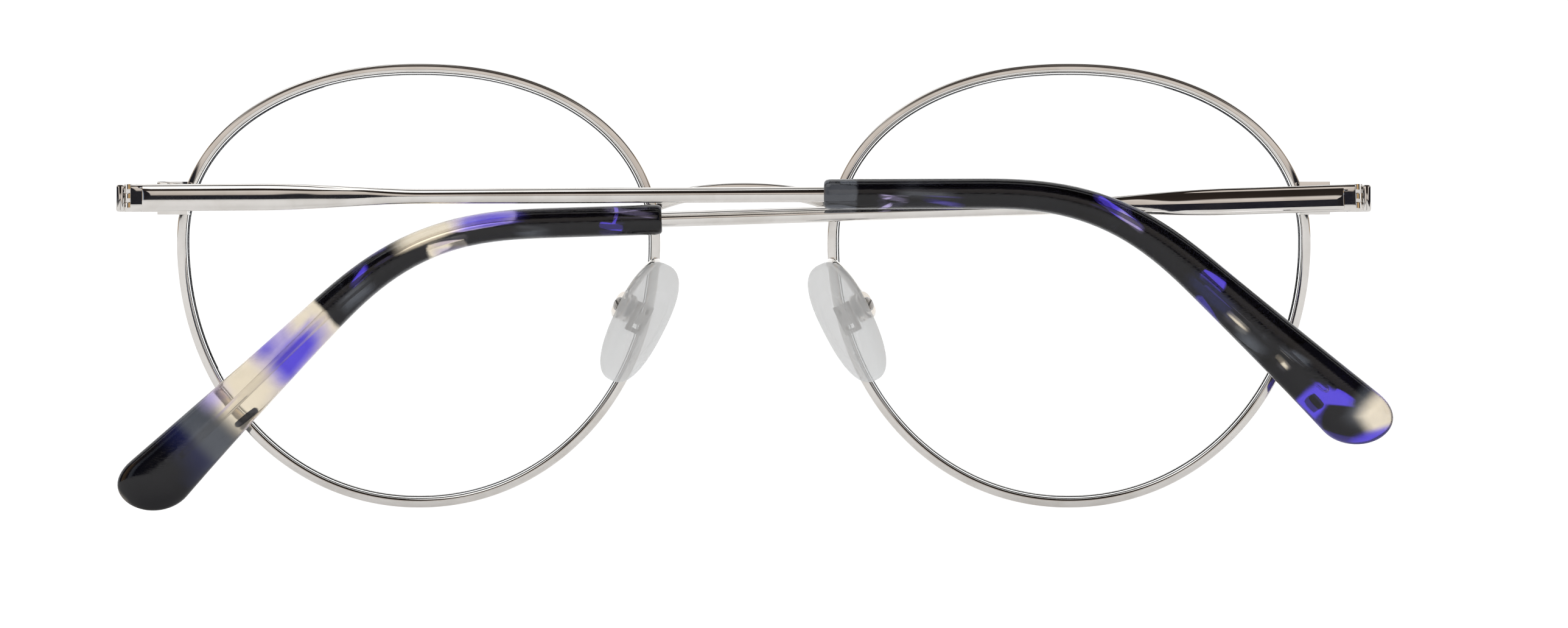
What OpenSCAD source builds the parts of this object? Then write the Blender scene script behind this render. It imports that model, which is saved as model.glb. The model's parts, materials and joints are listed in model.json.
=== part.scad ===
// Round wire eyeglasses with folding temples, screw-on nose pads and acetate tips.
// X runs across the face, towards the wearer's left. Y runs from the lens fronts back to the ears.
// Z is up. The origin is midway between the two lenses, level with the middle of their height.
// The temples are modelled folded, the left one lying over the right one.

/* [Lenses] */
// Width of a lens, point to point of its edge bevel
lens_w = 52; // [46:0.5:56]
// Height of a lens, point to point of its edge bevel
lens_h = 47.7; // [42:0.1:52]
// Height of the widest level above the middle of the lens
wide_level = 4.8; // [3:0.1:6]
// Fullness of the outline above the widest level, where 2 is an ellipse
upper_fullness = 2.15; // [2:0.05:2.4]
// Fullness of the outline below the widest level
lower_fullness = 2.05; // [2:0.05:2.4]
// Radius of the sphere that the lenses and rims curve on
lens_curve_r = 130; // [105:5:260]
// Thickness of a lens
lens_t = 1.8; // [1.5:0.1:2.2]
// Depth of the bevel round a lens
bevel_d = 0.45; // [0.35:0.01:0.5]

/* [Front] */
// Gap between the two lenses at the nose
lens_gap = 19.6; // [16:0.1:23]
// Thickness of the rim wire outside the lens edge
rim_out = 0.6; // [0.5:0.05:0.9]
// Depth of the rim wire, front to back
rim_d = 1.8; // [1.6:0.1:2.2]
// Chamfer along the outer edges of the rim wire
rim_chamfer = 0.15; // [0.1:0.01:0.2]
// Height of the bridge's top above the middle of the lenses
bridge_top = 11.3; // [9:0.1:13]
// Height of the bridge's wire at the nose
bridge_h = 1.4; // [1:0.1:2]
// Radius of the arch along the top of the bridge
bridge_r = 42; // [30:1:70]
// Radius of the arch along the bottom of the bridge
bridge_under_r = 27; // [20:1:29]
// Depth of the bridge, front to back
bridge_d = 1.6; // [1.2:0.1:1.7]

/* [End pieces and rim locks] */
// Height of the hinges above the middle of the lenses
hinge_level = 9.6; // [7:0.1:11]
// Height of an end piece
end_h = 3; // [2.6:0.1:3.6]
// Thickness of an end piece
end_t = 1; // [0.8:0.05:1.2]
// Outer radius of the bend in an end piece
end_bend_r = 2.3; // [1.6:0.1:2.6]
// Distance that the outer face of the end pieces stands out from the rims
end_reach = 6.4; // [6.2:0.1:8.5]
// Length of a rim lock along the end piece
lock_l = 3.3; // [3:0.1:3.6]
// Height of a closed pair of rim locks
lock_h = 3.6; // [3.2:0.1:4.2]
// Depth of a rim lock, front to back
lock_d = 2.2; // [2:0.1:2.4]
// Gap between the upper and the lower rim lock
lock_gap = 0.2; // [0.1:0.05:0.3]
// Radius of the rim lock screws
lock_screw_r = 0.45; // [0.35:0.05:0.55]

/* [Hinges] */
// Distance from the front of the end pieces back to the hinge axes
hinge_back = 4.54; // [4.24:0.02:7]
// Outer radius of the hinge knuckles
knuckle_r = 1.05; // [0.95:0.05:1.2]
// Height of the three knuckles together
hinge_h = 3; // [2.6:0.1:3.6]
// Radius of the hinge screws
hinge_screw_r = 0.45; // [0.35:0.05:0.5]
// Length of the hinge leaves past the knuckles
leaf_l = 2.6; // [2:0.1:3.5]
// Thickness of the hinge leaves
leaf_t = 0.5; // [0.4:0.05:0.6]
// Angle between a folded and an open temple
open_angle = 93; // [90:1:96]

/* [Temples] */
// Length of a temple along its middle, from the hinge axis to the end of the tip
temple_l = 145; // [138:1:150]
// Height of a temple at the hinge
blade_h = 2.95; // [2.6:0.05:3.4]
// Thickness of a temple at the hinge
blade_t = 0.85; // [0.7:0.05:1]
// Height of the raised panel along the outside of a temple
panel_h = 2.3; // [1.9:0.1:2.5]
// How far the raised panel stands out
panel_t = 0.2; // [0.1:0.05:0.3]
// Distance from the hinge axis to the place where a temple starts to narrow
blade_end = 14; // [10:1:18]
// Distance from the hinge axis to the place where a temple is fully narrow
shaft_start = 32; // [28:1:40]
// Height of the narrow part of a temple
shaft_h = 1.68; // [1.5:0.02:1.8]
// Thickness of the narrow part of a temple
shaft_t = 1.5; // [1.3:0.05:1.6]
// How far the left temple's far end is lifted over the right one, in degrees
left_lift = 2.4; // [2.2:0.1:4]
// How far the folded left temple climbs towards its far end, in degrees
left_climb = 0.25; // [0:0.05:1]
// How far the folded right temple climbs towards its far end, in degrees
right_climb = -1.8; // [-2.4:0.1:-1.7]

/* [Temple tips] */
// Distance from the hinge axis to the start of a tip
tip_start = 75.6; // [72:0.1:80]
// Height of a tip at its start
tip_h = 3.3; // [3:0.05:3.4]
// Thickness of a tip
tip_t = 3.2; // [2.9:0.05:3.3]
// How much taller a tip is at its end than at its start
tip_flare = 4.4; // [3:0.1:5]
// Angle through which a tip bends down behind the ear
tip_bend = 42.5; // [35:0.5:48]
// Distance from the hinge axis to the middle of the left tip's bend
left_bend_at = 106; // [102:1:110]
// Distance from the hinge axis to the middle of the right tip's bend
right_bend_at = 102; // [98:1:106]
// Length over which a tip bends
bend_l = 29; // [24:1:34]
// How far the end of a tip curves in towards the head
tip_inset = 1.5; // [0:0.1:2]
// Distance from the hinge axis to the end of the metal core
core_end = 137.5; // [130:0.5:138]

/* [Nose pads] */
// Length of a nose pad
pad_l = 14; // [13:0.1:16]
// Width of a nose pad
pad_w = 7; // [6:0.1:8]
// Thickness of a nose pad
pad_t = 2.8; // [2.5:0.1:3]
// Angle that a nose pad turns from facing straight back towards facing the nose
pad_turn = 42; // [35:1:50]
// Angle that a nose pad leans, with its top nearer the nose
pad_lean = 26; // [18:0.5:32]
// Distance of the nose pad screws from the middle of the nose
pad_screw_x = 13; // [12.6:0.1:14]
// Distance of the nose pad screws behind the middle of the lenses
pad_screw_y = 7.1; // [6.8:0.1:8]
// Height of the nose pad screws, below the middle of the lenses
pad_screw_z = -2.3; // [-3:0.1:-2]
// Radius of the nose pad screws
pad_screw_r = 0.4; // [0.35:0.05:0.45]
// Radius of the wire in a pad arm
arm_r = 0.45; // [0.4:0.05:0.5]

/* [Hidden] */

// Both sides share every shape, and these pick a side
LEFT = 0;
RIGHT = 1;

metal = [0.80, 0.78, 0.76];
screw_metal = [0.70, 0.70, 0.72];
acetate = [0.13, 0.11, 0.30];
clear = [0.86, 0.92, 0.96, 0.35];
silicone = [0.90, 0.93, 0.95, 0.60];

fine = 48;            // segments of the round parts
ring_steps = 84;      // places round a rim
eps = 0.01;

fit = 0.04;           // radial clearance of a hinge or pad screw in what turns on it
thread_fit = 0.015;   // radial clearance of a screw in what it holds
lens_play = 0.07;     // gap between a lens bevel and its groove
core_play = 0.05;     // gap between a metal core and the tip round it
solder_gap = 0.02;    // gap between parts that only lie against each other

lens_x = lens_gap / 2 + lens_w / 2;
lens_a = lens_w / 2;
lens_up = lens_h / 2 - wide_level;
lens_down = lens_h / 2 + wide_level;

// Half outlines are superellipses that meet at the widest level
function outline_r(t) =
    let (above = sin(t) >= 0, b = above ? lens_up : lens_down, n = above ? upper_fullness : lower_fullness)
    pow(pow(abs(cos(t)) / lens_a, n) + pow(abs(sin(t)) / b, n), -1 / n);
function outline(t) = [outline_r(t) * cos(t), wide_level + outline_r(t) * sin(t)];
function outward(t) = let (d = outline(t + 0.05) - outline(t - 0.05)) [d[1], -d[0]] / norm(d);
function rim_edge(t, out) = outline(t) + out * outward(t);

// How far back the lens sphere lies at a place given from the middle of one lens
function curve_back(p) = lens_curve_r - sqrt(pow(lens_curve_r, 2) - p[0] * p[0] - p[1] * p[1]);

// Where the rim splits, level with the hinge on the temple side
split_t = asin((hinge_level - wide_level) / outline_r(10));
split_half = asin(lock_gap / 2 / lens_a);
rim_side = rim_edge(split_t, rim_out)[0];
rim_back = curve_back(outline(split_t));

end_x = lens_x + lens_a + rim_out + end_reach;
face_gap = knuckle_r + 0.1;
hinge_x = end_x - end_t - face_gap;
blade_past = 0.2;                      // how far a temple runs past its hinge axis
end_front = rim_back - rim_d / 2;
hinge_y = end_front + hinge_back;
corner_r = sqrt(pow(face_gap + blade_t + panel_t, 2) + pow(blade_past, 2));
stop_y = hinge_y - blade_past - corner_r * sin(open_angle - 90) - 0.1;
knuckle_h = hinge_h / 3 - 0.04;

function climb(side) = side == LEFT ? left_climb : right_climb;
function lift(side) = side == LEFT ? left_lift : 0;
function bend_at(side) = side == LEFT ? left_bend_at : right_bend_at;

function smooth(t) = let (u = min(1, max(0, t))) u * u * (3 - 2 * u);
function mix(a, b, t) = a + (b - a) * t;
function sgn_pow(v, n) = sign(v) * pow(abs(v), n);

// Closed solid through rings that all have the same number of points
module skin(rings) {
    n = len(rings[0]);
    last = len(rings) - 1;
    sides = [for (i = [0:last - 1], j = [0:n - 1]) let (k = (j + 1) % n)
        each [[i * n + j, (i + 1) * n + j, i * n + k], [i * n + k, (i + 1) * n + j, (i + 1) * n + k]]];
    start_cap = [for (j = [0:n - 1]) j];
    end_cap = [for (j = [n - 1:-1:0]) last * n + j];
    polyhedron(points = [for (r = rings) each r], faces = concat(sides, [start_cap, end_cap]), convexity = 8);
}

module on_side(side) mirror([side == RIGHT ? 1 : 0, 0, 0]) children();
module at_lens(side) on_side(side) translate([lens_x, 0, 0]) children();
module at_hinge(side) on_side(side)
    translate([hinge_x, hinge_y, hinge_level]) rotate([0, climb(side), 0]) children();
module at_temple(side) at_hinge(side) rotate([0, 0, -lift(side)]) children();
module at_pad(side) on_side(side)
    translate([pad_screw_x, pad_screw_y, pad_screw_z]) rotate([0, -pad_lean, 0]) rotate([0, 0, pad_turn]) children();
module bar(low, high) translate(low) cube(high - low);

// ---- Rims and lenses ----

rim_section = [
    [rim_out, rim_d / 2 - rim_chamfer], [rim_out - rim_chamfer, rim_d / 2],
    [rim_chamfer - bevel_d, rim_d / 2], [-bevel_d, rim_d / 2 - 2 * rim_chamfer],
    [-bevel_d, bevel_d], [0, 0], [-bevel_d, -bevel_d],
    [-bevel_d, 2 * rim_chamfer - rim_d / 2], [rim_chamfer - bevel_d, -rim_d / 2],
    [rim_out - rim_chamfer, -rim_d / 2], [rim_out, rim_chamfer - rim_d / 2]
];

function rim_ring(t, section) = let (p = outline(t), o = outward(t), y = curve_back(p))
    [for (q = section) [p[0] + q[0] * o[0], y + q[1], p[1] + q[0] * o[1]]];
function rim_angles(gap) = [for (i = [0:ring_steps]) split_t + gap + i * (360 - 2 * gap) / ring_steps];

module rim(side) color(metal) at_lens(side)
    skin([for (t = rim_angles(split_half)) rim_ring(t, rim_section)]);

// The space that a rim fills, with its split closed, for parts that seat against it
plain_section = [for (i = [0:len(rim_section) - 1]) if (rim_section[i] != [0, 0]) rim_section[i]];
module rim_space() {
    skin([for (t = rim_angles(split_half)) rim_ring(t, plain_section)]);
    skin([for (k = [-2, 2]) rim_ring(split_t + k * split_half, plain_section)]);
}

function lens_ring(k, inset, y) = [for (i = [0:ring_steps - 1]) let (t = -i * 360 / ring_steps,
    p = k * rim_edge(t, -inset)) [p[0], curve_back(k < 1 ? p : outline(t)) + y, p[1]]];
lens_zones = [0.05, 0.3, 0.55, 0.8, 1];

module lens(side) color(clear) at_lens(side)
    skin(concat(
        [for (k = lens_zones) lens_ring(k, bevel_d + lens_play, -lens_t / 2)],
        [lens_ring(1, bevel_d + lens_play, -bevel_d), lens_ring(1, lens_play, 0), lens_ring(1, bevel_d + lens_play, bevel_d)],
        [for (i = [len(lens_zones) - 1:-1:0]) lens_ring(lens_zones[i], bevel_d + lens_play, lens_t / 2)]
    ));

// ---- Bridge ----

bridge_half = lens_gap / 2 + 1;
bridge_y = curve_back([lens_a - 1, bridge_top - 1.5 * bridge_h]);

module bridge() color(metal) difference() {
    translate([0, bridge_y + bridge_d / 2, 0]) rotate([90, 0, 0]) linear_extrude(bridge_d) difference() {
        intersection() {
            translate([0, bridge_top - bridge_r]) circle(bridge_r, $fn = 4 * fine);
            translate([-bridge_half, 0]) square([2 * bridge_half, bridge_top + 1]);
        }
        translate([0, bridge_top - bridge_h - bridge_under_r]) circle(bridge_under_r, $fn = 4 * fine);
    }
    at_lens(LEFT) lens_plug();
    at_lens(RIGHT) lens_plug();
}

// A rim with all that is inside it, for what ends against its outer face
module lens_plug() skin([for (y = [-2 * rim_d, 2 * rim_d])
    [for (i = [ring_steps - 1:-1:0]) let (t = split_t + split_half + i * (360 - 2 * split_half) / ring_steps,
        p = rim_edge(t, rim_out)) [p[0], bridge_y + y, p[1]]]]);

// ---- End pieces, rim locks and their screws ----

module end_plan() {
    start_x = lens_x + rim_side - rim_out;
    bend_x = end_x - end_bend_r;
    bend_y = end_front + end_bend_r;
    translate([start_x, end_front]) square([bend_x - start_x, end_t]);
    intersection() {
        translate([bend_x, bend_y]) difference() {
            circle(end_bend_r, $fn = fine);
            circle(end_bend_r - end_t, $fn = fine);
        }
        translate([bend_x, end_front]) square(end_bend_r);
    }
    translate([end_x - end_t, bend_y]) square([end_t, stop_y - bend_y]);
}

module end_strap() translate([0, 0, hinge_level - end_h / 2]) linear_extrude(end_h) end_plan();

module end_piece(side) color(metal) on_side(side) difference() {
    end_strap();
    translate([lens_x, 0, 0]) lens_plug();
}

lock_low_x = lens_x + rim_side - 0.7;
lock_front = end_front + end_t + solder_gap;
lock_screw_x = lock_low_x + lock_l - 1.2;
lock_screw_y = lock_front + lock_d / 2;
lock_head_r = 0.75;
lock_head_h = 0.5;

module lock_block(low, high, bore_r) difference() {
    bar([lock_low_x, lock_front, low], [lock_low_x + lock_l, lock_front + lock_d, high]);
    translate([lock_screw_x, lock_screw_y, low - 1]) cylinder(h = high - low + 2, r = bore_r, $fn = fine);
    translate([lens_x, 0, 0]) rim_space();
}

module rim_lock_upper(side) color(metal) on_side(side) difference() {
    lock_block(hinge_level + lock_gap / 2, hinge_level + lock_h / 2, lock_screw_r + thread_fit);
    translate([lock_screw_x, lock_screw_y, hinge_level + lock_h / 2 - lock_head_h])
        cylinder(h = lock_head_h + 1, r = lock_head_r + thread_fit, $fn = fine);
}

module rim_lock_lower(side) color(metal) on_side(side)
    lock_block(hinge_level - lock_h / 2, hinge_level - lock_gap / 2, lock_screw_r + thread_fit);

// A slotted screw along Z, with its head's top at zero
module slotted_screw(r, length, head_r, head_h) difference() {
    union() {
        translate([0, 0, -length]) cylinder(h = length, r = r, $fn = fine);
        translate([0, 0, -head_h]) cylinder(h = head_h, r = head_r, $fn = fine);
    }
    bar([-head_r - 1, -head_r / 7, -head_h / 2], [head_r + 1, head_r / 7, 1]);
}

module rim_lock_screw(side) color(screw_metal) on_side(side)
    translate([lock_screw_x, lock_screw_y, hinge_level + lock_h / 2])
    slotted_screw(lock_screw_r, lock_h, lock_head_r, lock_head_h - solder_gap);

// ---- Hinges ----

hinge_head_r = 0.75;
hinge_head_h = 0.4;
knuckle_gap = 0.25;    // room between a leaf and the knuckles that turn past it
cant_room = 0.06;      // spare leaf that is cut off flush with the end piece

module knuckle(low, bore_r) difference() {
    translate([0, 0, low]) cylinder(h = knuckle_h, r = knuckle_r, $fn = fine);
    translate([0, 0, low - 1]) cylinder(h = knuckle_h + 2, r = bore_r, $fn = fine);
}

// Plate that joins a knuckle to its leaf, clear of the bore
module knuckle_arm(low) difference() {
    bar([0, -knuckle_r - knuckle_gap, low], [face_gap - solder_gap, 0, low + knuckle_h]);
    translate([0, 0, low - 1]) cylinder(h = knuckle_h + 2, r = knuckle_r - eps, $fn = fine);
}

// The leaf lies on the inner face of the end piece and carries the outer two knuckles
module front_hinge(side) color(metal) difference() {
    at_hinge(side) {
        for (low = [-hinge_h / 2, hinge_h / 2 - knuckle_h]) {
            knuckle(low, hinge_screw_r + thread_fit);
            knuckle_arm(low);
        }
        bar([face_gap - leaf_t, end_bend_r - hinge_back, -hinge_h / 2],
            [face_gap + cant_room, -knuckle_r - knuckle_gap, hinge_h / 2]);
    }
    at_hinge(side) translate([0, 0, hinge_h / 2 - hinge_head_h])
        cylinder(h = 1, r = hinge_head_r + thread_fit, $fn = fine);
    on_side(side) end_strap();
}

module hinge_screw(side) color(screw_metal) at_hinge(side)
    translate([0, 0, hinge_h / 2])
    slotted_screw(hinge_screw_r, hinge_h, hinge_head_r, hinge_head_h - solder_gap);

// The leaf lies on the inner face of the temple and carries the middle knuckle
module temple_hinge(side) color(metal) at_temple(side) {
    knuckle(-knuckle_h / 2, hinge_screw_r + fit);
    difference() {
        bar([-knuckle_r - knuckle_gap, 0, -knuckle_h / 2], [0, face_gap - solder_gap, knuckle_h / 2]);
        translate([0, 0, -1]) cylinder(h = 2, r = knuckle_r - eps, $fn = fine);
    }
    bar([-knuckle_r - knuckle_gap - leaf_l, face_gap - solder_gap - leaf_t, -hinge_h / 2],
        [-knuckle_r - knuckle_gap, face_gap - solder_gap, hinge_h / 2]);
}

// ---- Temples and tips ----

function slope(s, side) = tip_bend * smooth((s - bend_at(side)) / bend_l + 0.5);

// Middle line of a temple: distance along it, then how far out and how far down that is
function middle_line(side) = [for (s = 0, p = [0, 0]; s <= temple_l + 1;
    p = p + [cos(slope(s + 0.5, side)), sin(slope(s + 0.5, side))], s = s + 1) [s, p[0], p[1]]];
function along(line, s, column) = s < 0 ? (column == 1 ? s : 0) : lookup(s, [for (r = line) [r[0], r[column]]]);

function inward(s) = s < tip_start ? 0 : tip_inset * pow((s - tip_start) / (temple_l - tip_start), 2);

// One ring of a swept section: size is [height, thickness], and shear slides its top along the temple
function temple_ring(line, side, s, y, size, round, sides, shear = 0) =
    let (a = slope(s, side), x = along(line, s, 1), z = along(line, s, 2))
    [for (i = [0:sides - 1]) let (t = -(i + 0.5) * 360 / sides,
        h = size[0] / 2 * sgn_pow(sin(t), 2 / round), w = size[1] / 2 * sgn_pow(cos(t), 2 / round))
        [-(x + h * sin(a) + shear * h * cos(a)), y - inward(s) + w, -z + h * cos(a) - shear * h * sin(a)]];

core_stations = concat([tip_start - 0.5, tip_start + 4],
    [for (s = [ceil(tip_start) + 8:4:core_end - 1.6]) s], [core_end - 0.8, core_end]);

function core_size(s, play) = let (t = smooth((s - tip_start) / 6), e = max(0, (s - tip_start) / (core_end - tip_start)))
    [mix(shaft_h, mix(1.5, 0.9, e), t) + 2 * play, mix(shaft_t, mix(1.2, 0.8, e), t) + 2 * play];
function metal_size(s) = s > tip_start - 1 ? core_size(s, 0) :
    let (t = smooth((s - blade_end) / (shaft_start - blade_end)))
    [mix(blade_h, shaft_h, t), mix(blade_t, shaft_t, t)];
function metal_round(s) = mix(6, 2.4, smooth((s - blade_end) / (shaft_start - blade_end)));

blade_stations = concat([-blade_past, blade_end], [for (k = [1:6]) mix(blade_end, shaft_start, k / 6)]);
shaft_y = face_gap + shaft_t / 2;
metal_sides = 16;

// Raised panel on the outside of a temple, narrowing towards the round part
panel_start = 1.1;
panel_end = shaft_start - 6;

module temple(side) color(metal) at_temple(side) {
    line = middle_line(side);
    skin([for (s = concat(blade_stations, core_stations))
        temple_ring(line, side, s, s > shaft_start ? shaft_y : face_gap + metal_size(s)[1] / 2,
            metal_size(s), metal_round(s), metal_sides)]);
    translate([0, face_gap + blade_t + panel_t, 0]) rotate([90, 0, 0]) linear_extrude(panel_t + blade_t / 2)
        polygon([[-panel_start, panel_h / 2], [-blade_end, panel_h / 2], [-panel_end, shaft_h / 3],
            [-panel_end, -shaft_h / 3], [-blade_end, -panel_h / 2], [-panel_start, -panel_h / 2]]);
}

function tip_size(s) = [tip_h + tip_flare * pow(max(0, (s - 96) / (temple_l - 96)), 1.7), tip_t];
start_round = 0.8;
end_round = 4.2;
end_shear = 0.3;

// Share of the full section that is left where a tip rounds over at either end
function tip_share(s) = let (e = (s - (temple_l - end_round)) / end_round, b = 1 - (s - tip_start) / start_round)
    s < tip_start + start_round ? 0.82 + 0.18 * sqrt(max(0, 1 - b * b)) : e > 0 ? sqrt(max(0.02, 1 - e * e)) : 1;

tip_stations = concat([for (k = [0, 0.15, 0.45, 1]) tip_start + k * start_round],
    [for (s = [tip_start + 6:6:86]) s], [for (s = [88:3.5:temple_l - end_round - 2]) s],
    [for (k = [0, 0.3, 0.55, 0.75, 0.9, 1]) temple_l - end_round + k * end_round]);

module temple_tip(side) color(acetate) at_temple(side) {
    line = middle_line(side);
    difference() {
        skin([for (s = tip_stations) temple_ring(line, side, s, shaft_y, tip_size(s) * tip_share(s), 2.6, 20,
            end_shear * smooth((s - temple_l + 14) / 14))]);
        skin([for (s = core_stations) temple_ring(line, side, s + (s == core_end ? core_play : 0), shaft_y,
            core_size(s, core_play), metal_round(s), metal_sides)]);
    }
}

// ---- Nose pads, their inserts, boxes, screws and arms ----

tab_t = 0.6;
tab_r = 0.75;
cheek_t = 0.4;
cheek_r = 1.1;
cheek_gap = tab_t / 2 + 0.05;
box_half = cheek_gap + cheek_t;
box_rise = 0.5;
pad_out = 3.3;      // distance from the pad screw to the middle of the pad's thickness
pad_drop = 0.8;     // how far the middle of the pad lies below its screw
plate_t = 0.5;
plate_w = 2.2;
plate_l = 3.4;
plate_y = pad_out - 0.5;
rib_w = 0.5;
pad_head_r = 0.8;
pad_head_h = 0.4;

// Round-ended plate outline, seen along the pad screw
module cheek_outline() {
    for (z = [-box_rise, box_rise]) translate([0, z]) circle(cheek_r, $fn = fine);
    translate([-cheek_r, -box_rise]) square([2 * cheek_r, 2 * box_rise]);
}

// Turns a drawing in Y and Z, so that its thickness runs along X
module across(from_x, to_x) translate([from_x, 0, 0]) rotate([90, 0, 90]) linear_extrude(to_x - from_x) children();

module box_space() across(-box_half, box_half) cheek_outline();

module pad_box(side) color(metal) at_pad(side) difference() {
    box_space();
    bar([-cheek_gap, -tab_r - 0.12, -cheek_r - box_rise - 1], [cheek_gap, cheek_r + 1, cheek_r + box_rise + 1]);
    across(-box_half - 1, box_half + 1) circle(pad_screw_r + thread_fit, $fn = fine);
}

module pad_screw(side) color(screw_metal) at_pad(side)
    translate([box_half + pad_head_h + solder_gap, 0, 0]) rotate([0, 90, 0])
    slotted_screw(pad_screw_r, 2 * box_half + pad_head_h + 0.1, pad_head_r, pad_head_h);

module insert_solid() difference() {
    union() {
        across(-tab_t / 2, tab_t / 2) circle(tab_r, $fn = fine);
        bar([-tab_t / 2, 0, -tab_r], [tab_t / 2, plate_y, tab_r]);
        bar([-plate_w / 2, plate_y, -plate_l / 2 - pad_drop / 2], [plate_w / 2, plate_y + plate_t, plate_l / 2 - pad_drop / 2]);
    }
    across(-tab_t, tab_t) circle(pad_screw_r + fit, $fn = fine);
    for (z = [-1, 1]) translate([0, plate_y + plate_t / 2, z * 0.95 - pad_drop / 2])
        cube([plate_w - 2 * rib_w, 2 * plate_t, rib_w], center = true);
}

module pad_insert(side) color(screw_metal) at_pad(side) insert_solid();

// A cushion shape: flat on both faces, round at its edge, and a little wider at the top
pad_rings = 12;
pad_sides = 28;
pad_square = 2.5;   // 2 gives an ellipse, more a fuller outline
pad_taper = 0.06;
function full(v) = sign(v) * pow(abs(v), 2 / pad_square);
function pad_ring(v) = let (k = max(0.08, pow(1 - pow(abs(v), 2.6), 1 / 2.6)))
    [for (i = [0:pad_sides - 1]) let (t = -i * 360 / pad_sides)
        [k * pad_w / 2 * full(cos(t)) * (1 + pad_taper * full(sin(t))) / (1 + pad_taper), pad_out + v * pad_t / 2,
            k * pad_l / 2 * full(sin(t)) - pad_drop]];

module nose_pad(side) color(silicone) at_pad(side) difference() {
    skin([for (i = [0:pad_rings]) pad_ring(-cos(i * 180 / pad_rings))]);
    insert_solid();
}

// Places that a pad arm passes through, given from its screw in the row's own directions
arm_route = [[-3.3, -3.85, 4.7], [-3.4, -2.5, 4.9], [-2.9, -1, 4.6], [-1.7, -0.3, 3.3], [-0.7, -0.3, 1.9], [-0.1, -0.2, 1.1]];
arm_sides = 12;
arm_steps = 4;

// Smooth curve through the route's places
function route_at(p, i, t) = let (a = p[max(0, i - 1)], b = p[i], c = p[i + 1], d = p[min(len(p) - 1, i + 2)])
    b + (c - a) * t / 2 + (2 * a - 5 * b + 4 * c - d) * t * t / 2 + (3 * b - a - 3 * c + d) * t * t * t / 2;
arm_line = concat([for (i = [0:len(arm_route) - 2], k = [0:arm_steps - 1]) route_at(arm_route, i, k / arm_steps)],
    [arm_route[len(arm_route) - 1]]);
function unit(v) = v / norm(v);
function arm_ring(i) = let (d = unit(arm_line[min(len(arm_line) - 1, i + 1)] - arm_line[max(0, i - 1)]),
    u = unit(cross([1, 0, 0], d)), w = cross(d, u))
    [for (j = [0:arm_sides - 1]) let (t = j * 360 / arm_sides) arm_line[i] + arm_r * (cos(t) * u + sin(t) * w)];

module pad_arm(side) color(metal) difference() {
    on_side(side) translate([pad_screw_x, pad_screw_y, pad_screw_z]) skin([for (i = [0:len(arm_line) - 1]) arm_ring(i)]);
    at_pad(side) box_space();
    at_lens(side) rim_space();
}

rim(LEFT);  // rim_left
rim(RIGHT);  // rim_right
bridge();
lens(LEFT);  // lens_left
lens(RIGHT);  // lens_right
end_piece(LEFT);  // end_piece_left
end_piece(RIGHT);  // end_piece_right
rim_lock_upper(LEFT);  // rim_lock_upper_left
rim_lock_upper(RIGHT);  // rim_lock_upper_right
rim_lock_lower(LEFT);  // rim_lock_lower_left
rim_lock_lower(RIGHT);  // rim_lock_lower_right
rim_lock_screw(LEFT);  // rim_lock_screw_left
rim_lock_screw(RIGHT);  // rim_lock_screw_right
front_hinge(LEFT);  // front_hinge_left
front_hinge(RIGHT);  // front_hinge_right
hinge_screw(LEFT);  // hinge_screw_left
hinge_screw(RIGHT);  // hinge_screw_right
temple_hinge(LEFT);  // temple_hinge_left
temple_hinge(RIGHT);  // temple_hinge_right
temple(LEFT);  // temple_left
temple(RIGHT);  // temple_right
temple_tip(LEFT);  // temple_tip_left
temple_tip(RIGHT);  // temple_tip_right
pad_arm(LEFT);  // pad_arm_left
pad_arm(RIGHT);  // pad_arm_right
pad_box(LEFT);  // pad_box_left
pad_box(RIGHT);  // pad_box_right
pad_screw(LEFT);  // pad_screw_left
pad_screw(RIGHT);  // pad_screw_right
pad_insert(LEFT);  // pad_insert_left
pad_insert(RIGHT);  // pad_insert_right
nose_pad(LEFT);  // nose_pad_left
nose_pad(RIGHT);  // nose_pad_right
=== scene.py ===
import json
import math

import bmesh
import bpy
from bpy.props import FloatProperty, FloatVectorProperty, PointerProperty
from mathutils import Matrix, Vector


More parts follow.
